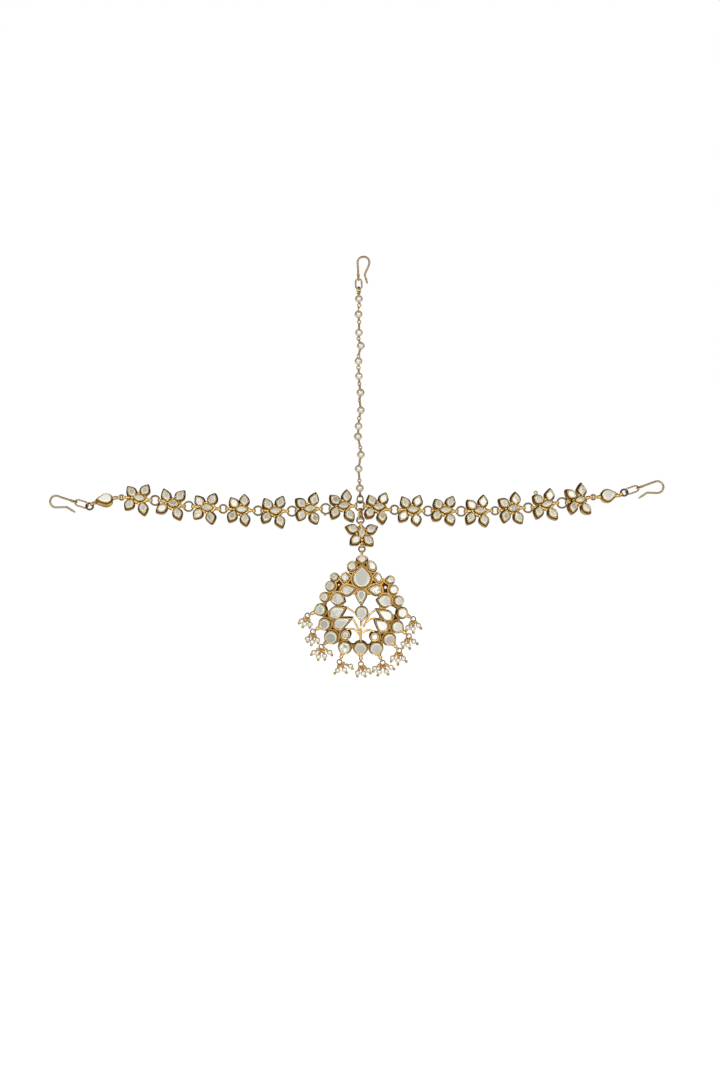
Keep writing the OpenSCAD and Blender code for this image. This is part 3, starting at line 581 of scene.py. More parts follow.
# whiteness, brownness, streaks of each stone: up left, up right, low left, low right, middle
FLOWER_TONES = [
    [(0.25, 0, 0), (0.35, 0, 0), (0.5, 0, 0), (0.45, 0, 0), (0.6, 0, 0)],
    [(0.5, 0, 0), (0.4, 0, 0.3), (1, 0, 0.2), (0.5, 0, 0), (0, 0.1, 0)],
    [(0.7, 0, 0.7), (0.3, 0, 0), (0.55, 0, 0.5), (0.15, 0, 0), (0.35, 0, 0)],
    [(1, 0, 0.2), (0.5, 0, 0), (0.2, 0, 0), (0.5, 0, 0), (0.8, 0, 0.2)],
    [(0.45, 0, 0), (0.4, 0, 0), (0.35, 0, 0), (0.5, 0, 0), (0.6, 0, 0)],
    [(0.4, 0, 0), (0.45, 0, 0), (0.5, 0, 0), (0.05, 0, 0), (0.5, 0, 0)],
    [(0.05, 0, 0), (0.4, 0, 0.3), (0.45, 0, 0), (0.5, 0, 0), (0.4, 0, 0)],
    [(0.5, 0, 0), (1, 0, 0), (0.55, 0, 0), (0.3, 0.7, 0), (0.5, 0, 0)],
    [(0.5, 0, 0), (1, 0, 0), (1, 0, 0), (1, 0, 0), (0.55, 0, 0)],
    [(0.5, 0, 0), (0.55, 0, 0), (0.5, 0, 0), (0.6, 0, 0), (0.6, 0, 0)],
    [(1, 0, 0), (1, 0, 0), (0.5, 0, 0), (0.6, 0, 0), (0.5, 0, 0)],
    [(0.55, 0, 0), (0.8, 0, 0.7), (0.05, 0, 0), (0.5, 0, 0), (0.1, 0, 0.8)],
    [(0.5, 0, 0), (1, 0, 0), (0.5, 0, 0), (0.6, 0, 0), (0.55, 0, 0)],
    [(1, 0, 0), (0.5, 0.1, 0.4), (0.05, 0, 0), (0.6, 0, 0), (0.55, 0, 0)],
]
RINGS = [
    (155.1, 500.4, 5.3), (188.6, 506.4, 5.4), (223.2, 508.9, 4.7), (258, 510.7, 5.1),
    (292, 511.2, 5.4), (325.7, 508.9, 5.6), (360.1, 506, 5.4), (394.5, 509.8, 5),
    (428, 511, 5.3), (461.1, 511.3, 5.3), (495.1, 510.8, 4.5), (528.1, 507.8, 5.2),
    (562, 502.9, 5.6),
]
RING_HALF = 0.36
LOOP_R, LOOP_HALF = 0.85, 0.3
END_LEFT, END_RIGHT, END_R = (121.5, 497.5), (593.2, 497.2), 1.27


def ring_mean(i):
    return RINGS[i][2] * U - RING_HALF


def ring_side(i, side):
    return (RINGS[i][0] + side * ring_mean(i) / U, RINGS[i][1])


def end_side(p, side):
    return (p[0] + side * END_R / U, p[1])


def blob(shape, centre, radii, look=(0.1, 0.5, 0, 0), mat=0, matrix=None, seed=0.0):
    """A soft lump of solder."""
    rows, looks = [], []
    rings, sides = 8, 14
    for j in range(rings + 1):
        t = 0.08 + (math.pi - 0.16) * j / rings
        ring = []
        for k in range(sides):
            a = TAU * k / sides
            q = Vector((math.cos(a) * math.sin(t) * radii[0], math.sin(a) * math.sin(t) * radii[1], -math.cos(t) * radii[2]))
            ring.append(Vector(centre) + q + wobble(q + Vector(centre), 1.3, 0.08, seed))
        rows.append(ring)
        looks.append(look)
    shape.loft(rows, looks, mat, matrix=matrix)


def leaf_frame(root, tip):
    root = root - (tip - root).normalized() * 1.1
    d = tip - root
    c = root + d * 0.48
    return c, d.length, math.degrees(math.atan2(d.y, d.x))


def grey(tone):
    return (tone[0] if tone[0] > 0.8 else max(0.0, tone[0] - 0.2), tone[1], tone[2])


def flower(gold, stones, c, leaves, slope, lean, turn, loops, tones, seed):
    m = face(c, 1.7, lean, turn)
    for i, (root, tip) in enumerate(leaves):
        low = slope != 90 and i in (2, 3)
        q, l, ang = leaf_frame(root, tip + (tip - root).normalized() * (0.55 if low else 0.1))
        out = drop_outline(LEAF_R, 0.52 * l, 0.48 * l, 0.04, blunt=1.3 if low else 0.5)
        local = m @ Matrix.Translation(q) @ rot_z(ang)
        bezel(gold, out, local, 0.0, -3.0, 1.2, seed + i, wall=0.22, crest=0.06, dark=0.42, crest_highlight=0.35, shade=0.06)
        gem(stones, out, local, 0.0, 1.2, 0.36, grey(tones[i]), seed + i * 0.37)
    spin = m @ rot_z(slope)
    # A gold collar under the marquise; its third numbers paint shade on it, darkest low down and where it meets the
    # rim.
    rows = [(0.0, -2.9, 0.5), (-0.5, -2.8, 0.7), (-0.95, -2.3, 0.8), (-1.0, -1.2, 0.6), (-0.9, -0.8, 0.45), (-0.62, -0.6, 0.2),
            (-0.25, -0.56, 0.3), (0.3, -0.6, 0.7)]
    gold.loft([[Vector((p.x, p.y, z)) for p in MARQUISE(d)] for d, z, _ in rows],
              [(k, 0.5, 0, 0) for _, _, k in rows], 0, matrix=spin)
    bezel(gold, MARQUISE, spin, 0.22, -2.7, 0.96, seed + 7, wall=0.3, dark=0.14, crest_highlight=0.4, shade=0.08)
    gem(stones, MARQUISE, spin, 0.22, 0.96, 0.28, grey(tones[4]), seed + 2.9)
    # beads of solder in the forks between the leaves
    if slope != 90:
        for x, y, r in ((-0.9 * U, 5.0 * U, 0.8), (-0.6 * U, -5.3 * U, 0.8)):
            p = flat(x, y, lean, turn)
            blob(gold, p + Vector((0, 0, -0.62)), (r, r * 1.1, 0.6), (0.12, 0.3, 0, 0), matrix=m, seed=seed)
    heart = at(c, 1.7 - 1.5 * math.cos(math.radians(lean))) - Vector((0, 1.5 * math.sin(math.radians(lean)), 0))
    for where, axis, side in loops:
        p = at(where)
        # The outer hoops of each loop are drawn darker than the middle one, and all get a little painted highlight:
        # painted shade and highlight on the lump.
        for k in (-0.5, 0, 0.5):
            gold.hoop(p + Vector(axis) * k, axis, LOOP_R, LOOP_HALF * 1.05, 10, 28, (0.12 + 0.2 * abs(k), 0.0, 0, 0.15), uneven=0.03)
        a = p + Vector(side) * LOOP_R
        d = heart - a
        path = [a + d * t for t in (0.0, 0.06, 0.13, 0.22, 0.34, 0.5, 0.7)]
        # The neck's looks alternate darker and lighter, with some painted highlight, to paint its lumps, then darken
        # towards the setting: painted shade and highlight.
        gold.tube(path, 0.55, 12, radii=[0.7, 0.85, 0.95, 0.95, 0.85, 0.7, 0.6],
                  looks=[(0.3, 0.1, 0, 0), (0.05, 0.0, 0, 0.2), (0.35, 0.1, 0, 0), (0.1, 0.1, 0, 0.1), (0.4, 0.4, 0, 0),
                         (0.6, 0.7, 0, 0), (0.9, 0.8, 0, 0)])


def leaf_rows(f):
    rows = []
    for i in range(4):
        root = flat(LEAF_ROOTS[i][0] * U, -LEAF_ROOTS[i][1] * U, f[7], f[8])
        tip = flat((f[2 + i][0] - f[0]) * U, (f[1] - f[2 + i][1]) * U, f[7], f[8])
        rows.append((root, tip))
    return rows


stones_left, stones_right = Shape(), Shape()
for i, f in enumerate(FLOWERS):
    gold = Shape()
    left = end_side(END_LEFT, 1) if i == 0 else ring_side(i - 1, 1)
    right = end_side(END_RIGHT, -1) if i == 13 else ring_side(i, -1)
    flower(gold, stones_left if i < 7 else stones_right, (f[0], f[1]), leaf_rows(f), f[6], f[7], f[8],
           [(left, (0, 1, 0), (1, 0, 0)), (right, (0, 1, 0), (-1, 0, 0))], FLOWER_TONES[i], 10.0 * i + 1)
    if i == 12:
        gold.hoop(at((535.6, 492.9), 1.3), (0.2, 0.3, 1), 0.8, 0.32, 9, 24, (0.6, 0.1, 0, 0), seam=1.0, uneven=0.03)
    piece("flower_setting_%d" % (i + 1), gold, [GOLD], "band", ["flower_%d" % (i + 1)])

for i, r in enumerate(RINGS):
    s = Shape()
    s.hoop(at(r), (0, 0, 1), ring_mean(i), 0.48, 14, 56, (0.74, 0.1, 0, 0), seam=1.1 + i * 0.9, uneven=0.05)
    if i in (0, 3, 7, 11):
        s.hoop(at(r) + Vector((0.12, -0.22, -0.62)), (0.08, 0.12, 1), ring_mean(i), 0.3, 12, 52, (0.15, 0.1, 0, 0.1), seam=0.4 + i, uneven=0.05)
    if i == 5:
        blob(s, at((324.9, 515.0), 0.1), (0.62, 0.5, 0.5), (0.25, 0.2, 0, 0))
    piece("band_ring_%d" % (i + 1), s, [GOLD], "band", ["ring_%d" % (i + 1)])
for name, p in (("left", END_LEFT), ("right", END_RIGHT)):
    s = Shape()
    s.hoop(at(p), (0, 0, 1), END_R, 0.42, 12, 40, (0.74, 0.1, 0, 0), seam=2.2, uneven=0.04)
    piece("band_end_ring_" + name, s, [GOLD], "band", ["end_ring_" + name])

# ------------------------------------------------------------------ end drops
JUMP_R, JUMP_HALF = 1.8, 0.38
DROP_LEFT = ((106.3, 497.6), 6, (96.5, 499), 38, 4, 3.8)
DROP_RIGHT = ((607.8, 495.0), 5.9, (617.8, 493.4), 15, 12, 3.6)
JUMP_LEFT, JUMP_RIGHT = (89.6, 506.4), (624.2, 492.6)
AXIS_LEFT, AXIS_RIGHT = -16.9, 18.7


def on_axis(a, tilt, b):
    a, tilt, b = math.radians(a), math.radians(tilt), math.radians(b)
    s = Vector((math.cos(a), math.sin(a), 0))
    p = Vector((-math.sin(a) * math.cos(tilt), math.cos(a) * math.cos(tilt), math.sin(tilt)))
    return s * math.cos(b) + p * math.sin(b)


def end_drop(name, d, loops, stones, tone, nodes, coils=()):
    gold = Shape()
    m = face(d[0], 1.6, d[3], d[4])
    t = flat((d[2][0] - d[0][0]) * U, (d[0][1] - d[2][1]) * U, d[3], d[4])
    spin = m @ rot_z(math.degrees(math.atan2(t.y, t.x)))
    out = drop_outline((d[1] + 1.0) * U, t.length + 0.7, 0, 0.03, blunt=0.6)
    bezel(gold, out, spin, 0.0, -d[5], 0.98, 71, wall=0.12, dark=0.3, crest_highlight=0.2, shade=0.06)
    gem(stones, out, spin, 0.0, 0.98, 0.4, tone, 4.4)
    heart = at(d[0], 1.6 - d[5] / 2 * math.cos(math.radians(d[3]))) - Vector((0, d[5] / 2 * math.sin(math.radians(d[3])), 0))
    for where, axis, side in loops:
        for k in (-0.32, 0.32):
            gold.hoop(where + axis * k, axis, LOOP_R, LOOP_HALF, 10, 28, (0.0, 0.1, 0, 0), uneven=0.03)
        a = where + side * LOOP_R
        v = heart - a
        path = [a + v * k for k in (0.0, 0.08, 0.17, 0.28, 0.42, 0.6)]
        # The neck darkens towards the setting (first look numbers 0.05 to 0.8): painted shade where it goes under the
        # stone.
        gold.tube(path, 0.5, 12, radii=[0.6, 0.8, 0.95, 1.0, 0.95, 0.8],
                  looks=[(0.05, 0.2, 0, 0), (0.06, 0.2, 0, 0), (0.1, 0.3, 0, 0), (0.2, 0.4, 0, 0), (0.5, 0.6, 0, 0), (0.8, 0.7, 0, 0)])
        gold.coil(a - v.normalized() * 0.05, v, 1.1, 0.80, 0.18, 2.5, (0.3, 0.3, 0, 0))
    piece(name, gold, [GOLD], "band", nodes)


end_drop("end_drop_left", DROP_LEFT, [
    (at(JUMP_LEFT) + on_axis(AXIS_LEFT, -24, 62) * JUMP_R, on_axis(AXIS_LEFT, -24, 152), on_axis(AXIS_LEFT, -24, 62)),
    (at(end_side(END_LEFT, -1)), Vector((0, 1, 0)), Vector((-1, 0, 0)))], stones_left, (0.95, 0, 0), ["teardrop_left"])
end_drop("end_drop_right", DROP_RIGHT, [
    (at(JUMP_RIGHT) + on_axis(AXIS_RIGHT, -24, 198) * JUMP_R, on_axis(AXIS_RIGHT, -24, 288), on_axis(AXIS_RIGHT, -24, 198)),
    (at(end_side(END_RIGHT, 1)), Vector((0, 1, 0)), Vector((1, 0, 0)))], stones_right, (0.5, 0.03, 0), ["teardrop_right"])
piece("band_stones_left", stones_left, [STONE], "band", ["stones_left"], sharp=22)
piece("band_stones_right", stones_right, [STONE], "band", ["stones_right"], sharp=22)

for name, p, a in (("left", JUMP_LEFT, AXIS_LEFT), ("right", JUMP_RIGHT, AXIS_RIGHT)):
    s = Shape()
    n = on_axis(a, -24, 0).cross(on_axis(a, -24, 90))
    s.hoop(at(p), n, JUMP_R, 0.5, 12, 44, (0.6, 0.5, 0, 0), seam=2.0, uneven=0.05)
    piece("end_jump_ring_" + name, s, [DARK], "band", ["jump_" + name])


def link_path(p, q, radius, tilt):
    a, b = at(p), at(q)
    l = (b - a).length
    m = (Matrix.Translation((a + b) / 2) @ Matrix.Rotation(math.atan2(b.y - a.y, b.x - a.x), 4, "Z")
         @ Matrix.Rotation(math.radians(tilt), 4, "X"))
    out = []
    for v in stadium(0, l, radius, 12):
        w = m @ v
        out.append(w + wobble(w, 0.5, 0.07))
    return out


EYE_LEFT, EYE_RIGHT = (75.2, 501.9), (638.5, 487.75)
HOOK_BEND, HOOK_HALF = 2.67, 0.38
HOOK_MID = HOOK_BEND + HOOK_HALF
PARTING_TURN, PARTING_SHANK, EYE_R = 3, 7.5, 0.85
_t = math.radians(PARTING_TURN)
PARTING_EYE = Vector((-(HOOK_MID * math.cos(_t) - (EYE_R + PARTING_SHANK) * math.sin(_t)),
                      -HOOK_BEND - (HOOK_MID * math.sin(_t) + (EYE_R + PARTING_SHANK) * math.cos(_t)), 0))
LINK_TOP = (363.5 + PARTING_EYE.x / U, 257.5 - PARTING_EYE.y / U)
for name, p, q, r, tilt in (("end_link_left", EYE_LEFT, (88, 505.8), 1.7, 24),
                            ("end_link_right", (625.84, 492.05), EYE_RIGHT, 1.7, 24),
                            ("top_link", LINK_TOP, (358.9, 289.05), 1.57, 0)):
    s = Shape()
    s.tube(link_path(p, q, r, tilt), 0.43, 12, closed=True, look=(0.45, 0.3, 0, 0))
    node = {"end_link_left": "link_left", "end_link_right": "link_right", "top_link": "link_parting"}[name]
    piece(name, s, [BRASS], "band", [node])


def hook_path(shank, past, leg, counter, tip):
    pts = []
    top = EYE_R + shank
    for i in range(13):
        pts.append(Vector((0, EYE_R * 0.9 + (shank + EYE_R * 0.1) * i / 12, 0)))
    c = Vector((HOOK_MID, top, 0))
    for i in range(1, 30):
        t = math.radians(180 - (180 + past) * i / 29)
        pts.append(c + Vector((math.cos(t), math.sin(t), 0)) * HOOK_MID)
    m = Matrix.Translation(c) @ rot_z(-past)
    for i in range(1, 6):
        pts.append(m @ Vector((HOOK_MID, -leg * i / 5, 0)))
    cc = 1.6
    m2 = m @ Matrix.Translation(Vector((HOOK_MID + cc, -leg, 0)))
    for i in range(1, 9):
        t = math.radians(180 + counter * i / 8)
        pts.append(m2 @ (Vector((math.cos(t), math.sin(t), 0)) * cc))
    m3 = m2 @ rot_z(counter)
    for i in range(1, 7):
        pts.append(m3 @ Vector((-cc, -tip * i / 6, 0)))
    return pts


def hook(name, m, args, eye_axis, node):
    s = Shape()
    path = [m @ p for p in hook_path(*args)]
    n = len(path)
    radii = [HOOK_HALF * 1.4] * n
    for k, r in ((1, 1.1), (2, 1.25)):
        radii[-k] = HOOK_HALF * r
    path = [p + wobble(p, 0.22, 0.10) * min(1.0, i / 8) * min(1.0, (n - i) / 8) for i, p in enumerate(path)]
    s.tube(path, HOOK_HALF, 14, look=(0.5, 0.3, 0, 0), radii=radii)
    axis = (m.to_3x3() @ Vector(eye_axis)).normalized()
    centre = m @ Vector((0, 0, 0))
    s.hoop(centre, axis, EYE_R, HOOK_HALF * 0.94, 12, 32, (0.1, 0.3, 0, 0), uneven=0.02)
    up = (m.to_3x3() @ Vector((0, 1, 0))).normalized()
    s.coil(centre + up * (EYE_R + 0.42), up, 1.2, HOOK_HALF + 0.14, 0.22, 2.75, (0.0, 0.3, 0, 0), sides=8)
    piece(name, s, [BRASS], "band", [node])


mirror_x = Matrix.Diagonal((-1, 1, 1, 1))
t24 = math.radians(24)
hook("parting_hook_wire", Matrix.Translation(PARTING_EYE) @ rot_z(PARTING_TURN), (PARTING_SHANK, 26, 4.9, 39, 3.9), (1, 0, 0), "hook_parting")
hook("end_hook_wire_left", Matrix.Translation(at(EYE_LEFT)) @ rot_z(71.3) @ mirror_x, (8.6, 21, 4.9, 34, 4.4),
     (math.cos(t24), 0, -math.sin(t24)), "hook_left")
hook("end_hook_wire_right", Matrix.Translation(at(EYE_RIGHT)) @ rot_z(-70), (8.55, 21, 4.9, 34, 4.4),
     (math.cos(t24), 0, -math.sin(t24)), "hook_right")

# ------------------------------------------------------------------ parting string
TOP_RING_R, TOP_RING_TURN = 1.5, 62
TOP_RING = (358.7, 287.25 + TOP_RING_R / U)
PARTING_RING, PARTING_RING_R, PARTING_RING_TURN = (360.1, 499.3), 2, 42


def turned(deg):
    return Vector((math.sin(math.radians(deg)), 0, math.cos(math.radians(deg))))


s = Shape()
s.hoop(at(TOP_RING), turned(TOP_RING_TURN), TOP_RING_R, 0.48, 12, 40, (0.15, 0.1, 0, 0), seam=2.5)
piece("top_loop", s, [GOLD], "band", ["top_ring"])
s = Shape()
s.hoop(at(PARTING_RING), turned(PARTING_RING_TURN), PARTING_RING_R, 0.42, 12, 44, (0.66, 0.1, 0, 0), seam=1.5)
piece("parting_jump_ring", s, [GOLD], "band", ["parting_ring"])

CHAIN_PEARLS = [(358.9, 298.9), (358.5, 314.4), (359, 332.7), (360.8, 345.9), (358.5, 361.2), (358.9, 376.2),
                (360.5, 392.6), (360.9, 410.3), (358.5, 426.3), (357.9, 436.6), (360.9, 454.8), (358.6, 468.9), (359.8, 488.2)]
CHAIN_RINGS = [(359.3, 305.4, 0), (358.4, 309.2, 90), (359.1, 322, 20), (358.5, 338.6, 30), (358.5, 356.1, 40),
               (358.5, 367.6, 10), (359.4, 383.9, 35), (359.5, 400.2, 60), (359.1, 418.3, 15), (360.3, 447.6, 30),
               (359.8, 461.3, 70), (359.4, 480.6, 25)]
chain = Shape()
top_end = (TOP_RING[0], TOP_RING[1] + TOP_RING_R / U)
low_end = (PARTING_RING[0], PARTING_RING[1] - PARTING_RING_R / U)
stations = [(at(top_end), "loop", math.radians(TOP_RING_TURN))]
stations += sorted([(at(p), "pearl", 0.0) for p in CHAIN_PEARLS] + [(at(r), "ring", r[2]) for r in CHAIN_RINGS],
                   key=lambda s: -s[0].y)
stations.append((at(low_end), "loop", math.radians(PARTING_RING_TURN)))
pearl_no = 0
for i, (p, kind, turn) in enumerate(stations):
    before = stations[i - 1][0] if i else p + Vector((0, 1, 0))
    after = stations[i + 1][0] if i + 1 < len(stations) else p - Vector((0, 1, 0))
    if kind == "pearl":
        axis = (before - after).normalized()
        k = 1.0 + 0.025 * math.sin(pearl_no * 2.3)
        chain.ball(p, 2.02 * k, axis, 18, 26, (0, 0.1 + 0.3 * (pearl_no % 3) / 2, 0, 0), 0, 0.97, 0.36)
        for sgn in (1, -1):
            chain.hoop(p + axis * sgn * 1.92, axis, 0.40, 0.2, 7, 18, (0.5, 0.2, 0, 0), 1, uneven=0.01)
        pearl_no += 1
    elif kind == "ring":
        chain.hoop(p, turned(turn), 0.9, 0.28, 9, 26, (0.5, 0.0, 0.1, 0.12), 1, uneven=0.03)
    else:
        t = math.degrees(turn)
        chain.hoop(p, (math.cos(turn), 0, -math.sin(turn)), 0.79, 0.28, 9, 26, (0.5, 0.0, 0.1, 0), 1, uneven=0.02)
for (p, kp, tp), (q, kq, tq) in zip(stations, stations[1:]):
    e = (q - p).normalized()
    reach = {"pearl": 1.78, "ring": 0.86, "loop": 0.8}
    a, b = p + e * reach[kp], q - e * reach[kq]
    gap = (b - a).dot(e)
    if gap <= 0.1:
        continue
    chain.tube([a.lerp(b, k / 4) for k in range(5)], 0.26, 8, look=(0.6, 0.1, 0, 0), mat=1)
    turns = min(7.0, max(1.5, gap / 0.46))
    chain.coil(a + e * 0.08, e, gap - 0.16, 0.38, 0.22, turns, (0.48, 0.0, 0, 0.1), 1)
    for c, kind, sgn in ((p, kp, 1), (q, kq, -1)):
        if kind == "ring":
            t = {id(p): tp, id(q): tq}[id(c)]
            n = turned(t).cross(Vector((0, 1, 0)))
            chain.hoop(c + e * sgn * 0.8, n, 0.4, 0.16, 7, 18, (0.3, 0.5, 0, 0), 1, uneven=0.01)
piece("parting_string", chain, [PEARL, WARM], "band", ["parting_chain"], sharp=50)

# ------------------------------------------------------------------ centre drop
BAIL_TOP_Y = RINGS[6][1] + ring_mean(6) / U
bail = Shape()
hi, lo = at((360.4, BAIL_TOP_Y)), at((360.4, 517))
for k, off in enumerate((-0.93, -0.31, 0.31, 0.93)):
    path = []
    n = 12
    for i in range(n + 1):
        t = math.pi * i / n
        path.append(hi + Vector((off * 0.86, math.sin(t) * 1.2, math.cos(t) * 1.2)))
    for i in range(1, 6):
        f = i / 6
        path.append(hi.lerp(lo, f) + Vector((off * (0.86 + 0.3 * f), 0, -1.2 - 0.06 * math.sin(f * 3.1))))
    for i in range(n + 1):
        t = math.pi + math.pi * i / n
        path.append(lo + Vector((off * 1.2, math.sin(t) * 1.2, math.cos(t) * 1.2)))
    for i in range(1, 6):
        f = i / 6
        path.append(lo.lerp(hi, f) + Vector((off * (1.2 - 0.3 * f), 0, 1.2 + 0.06 * math.sin(f * 3.1))))
    # The left strand is lighter with a little painted highlight, the others darker towards the right: painted light and
    # shade.
    shade = (0.15, 0.1, 0, 0.1) if k == 0 else (0.3 + 0.17 * k, 0.4, 0, 0)
    bail.tube(path, 0.3, 10, closed=True, look=shade)
# Two small rings drawn dark (first look number 0.9): painted shade of the bail's two dimples.
for x, y in ((359.6, 517.2), (361.9, 517.0)):
    bail.hoop(at((x, y), 1.25), (0, 0.2, 1), 0.34, 0.16, 7, 16, (0.9, 0.6, 0, 0), uneven=0.01)
piece("centre_bail", bail, [GOLD], "drop", ["drop_bail"])

DROP_LINK, DROP_LINK_R = (360.4, 520.05), 1.77
s = Shape()
s.hoop(at(DROP_LINK), (0, 0, 1), DROP_LINK_R, 0.46, 12, 44, (0.74, 0.1, 0, 0), seam=0.6)
piece("centre_link", s, [GOLD], "drop", ["drop_link"])
LOOP_TOP, LOOP_LOW = (360.9, 520.05 + DROP_LINK_R / U), (361.9, 546)
DROP_AT, DROP_LEAN, DROP_TURN = (361.8, 532.4), 18, 12
DROP_LEAVES = [(358.3, 530.4, 345.4, 525.7), (366.4, 530.6, 378.7, 526), (359.6, 536, 350.8, 544.2), (365, 536, 373.8, 545.4)]


def off_drop(x, y):
    return flat((x - DROP_AT[0]) * U, (DROP_AT[1] - y) * U, DROP_LEAN, DROP_TURN)


gold, gems = Shape(), Shape()
flower(gold, gems, DROP_AT, [(off_drop(r[0], r[1]), off_drop(r[2], r[3])) for r in DROP_LEAVES], 90, DROP_LEAN, DROP_TURN,
       [(LOOP_TOP, (1, 0, 0), (0, -1, 0)), (LOOP_LOW, (1, 0, 0), (0, 1, 0))],
       [(0.5, 0, 0), (0.6, 0, 0), (0.85, 0, 0.3), (0.55, 0, 0), (0.5, 0, 0)], 171)
# gusset of solder under the lower leaves
blob(gold, at((362.1, 542.0), 0.4), (0.8, 0.75, 0.8), (0.12, 0.3, 0, 0))
piece("centre_flower_setting", gold, [GOLD], "drop", ["drop_flower"])
piece("centre_flower_stones", gems, [STONE], "drop", ["drop_stones"], sharp=22)

PEND_RING_R = 1.56
s = Shape()
s.hoop(at((361.9, 546 + PEND_RING_R / U)), (0, 0, 1), PEND_RING_R, 0.45, 12, 44, (0.74, 0.1, 0, 0), seam=0.2)
piece("pendant_jump_ring", s, [GOLD], "swing_ring", ["pendant_ring"])

# ------------------------------------------------------------------ pendant
CROWN, DOME_R, DOME_FRONT, PEND_DEPTH = (361.3, 606), 70.0, 5.6, 3.6
PEND_LOOP = (361.9, 546 + 2 * PEND_RING_R / U)


def dome_n(p):
    x, y = (p[0] - CROWN[0]) * U / DOME_R, (CROWN[1] - p[1]) * U / DOME_R
    return Vector((x, y, math.sqrt(max(0.0, 1 - x * x - y * y))))


def dome_z(p):
    return DOME_FRONT + DOME_R * (dome_n(p).z - 1)


def dome_lean(p):
    return math.degrees(math.asin(dome_n(p).y))


def dome_turn(p):
    n = dome_n(p)
    return math.degrees(math.atan2(n.x, n.z))


def under(p, d):
    return at(p, dome_z(p)) - dome_n(p) * d


def on_dome(p):
    return face(p, dome_z(p), dome_lean(p), dome_turn(p))


DROPS = [
    (361.8, 578.4, 9.15, 362, 565.3, 0.5), (346.5, 590.2, 5.3, 356.5, 588.3, 0.45), (376.5, 589.8, 5.2, 367, 588.8, 0.45),
    (361.3, 594.5, 5.3, 361.4, 605, 0.45), (337.3, 598.8, 6.2, 344.8, 601.3, 0.5), (385.3, 600.8, 6.4, 376.8, 599.6, 0.5),
    (361.8, 612.5, 6, 361.7, 621.5, 0.5), (335.5, 613, 6.3, 346.5, 607, 0.5), (339.5, 623.8, 5.8, 352.6, 617.5, 0.5),
    (387.4, 615.9, 5.3, 376, 608.6, 0.5), (382.8, 626.3, 5.6, 374, 618.8, 0.5), (334, 576.7, 4, 0, 0, 0.4),
    (390.9, 579.6, 4, 385.1, 580.4, 0.4), (330, 585.8, 5, 0, 0, 0.45), (394, 589.6, 4.8, 0, 0, 0.45),
    (324, 596.9, 4.7, 0, 0, 0.45), (399.2, 600.9, 5, 0, 0, 0.45), (319.9, 609.8, 5.7, 0, 0, 0.5),
    (402.8, 613, 5.45, 0, 0, 0.5), (324.3, 624.4, 6, 0, 0, 0.5), (397.8, 627.1, 6, 0, 0, 0.5),
    (330.8, 637.8, 6.9, 0, 0, 0.5), (389.7, 639.8, 6.3, 0, 0, 0.5), (345.5, 634.8, 4.9, 0, 0, 1),
    (374.8, 637.1, 4.7, 0, 0, 0.85), (344.5, 648.2, 6.3, 0, 0, 0.5), (360.5, 648.8, 6.7, 0, 0, 0.5),
    (376.3, 648.9, 6.7, 0, 0, 0.5),
]
DROP_TONES = [
    (0.32, 0.16, 0), (0.45, 0, 0), (0.8, 0, 1), (0.4, 0.05, 0), (0.45, 0, 0), (0.62, 0.05, 0),
    (0.55, 0, 0), (0.5, 0, 0.45), (0.5, 0, 0), (1, 0, 0), (1, 0, 0), (0.35, 0, 0),
    (0.7, 0, 0), (0.4, 0, 0), (0.9, 0, 0), (0.6, 0, 0), (0.7, 0, 0.2), (0.45, 0, 0.3),
    (0.95, 0, 0), (0.3, 0, 0), (0.75, 0, 0), (0.25, 0, 0), (0.25, 0.85, 0), (0.45, 0, 0),
    (1, 0, 0), (0.75, 0, 0.9), (0.4, 0, 0.1), (0.45, 0, 0.1),
]
PANES = [
    ((362, 559), [(356.2, 558.9), (356.9, 557), (359, 555.2), (362, 554.4), (365, 555.2), (367.2, 557), (367.9, 558.9), (362, 564)], (0.65, 0, 0)),
    ((352, 565.6), [(349.6, 561.3), (352.6, 560.6), (355.7, 561), (356.4, 568.8), (352, 571), (349.2, 570.2), (347.5, 568), (347.2, 564.6)], (0.5, 0, 0)),
    ((372.5, 565.4), [(368, 561), (370.6, 560), (374, 561.6), (376.5, 565), (376.9, 568.2), (375.2, 570.7), (372.4, 570.8), (368.3, 569)], (0.95, 0, 0)),
    ((344.9, 577.2), [(345.7, 571.4), (350.6, 576.8), (346.8, 581.4), (344.2, 583), (339.4, 577.6), (341.8, 573.6)], (0.5, 0, 0.2)),
    ((378.4, 577.5), [(377.6, 571.6), (380.4, 573.8), (382.9, 578.4), (381.6, 582.4), (378.8, 583.2), (373.1, 577.2)], (0.95, 0, 0)),
]
PLATE_EDGE = [
    (334, 576.7), (341, 577), (346, 576.5), (351.5, 567), (356, 561.5), (362, 558.5), (368, 561.5),
    (373, 567), (378.6, 576.5), (384, 578), (390.9, 579.6), (394, 589.6), (399.2, 600.9), (402.8, 613), (397.8, 627.1),
    (389.7, 639.8), (376.3, 648.9), (360.5, 650), (344.5, 648.2), (331, 638), (324.3, 624.4), (319.9, 609.8),
    (324, 596.9), (330, 585.8)]
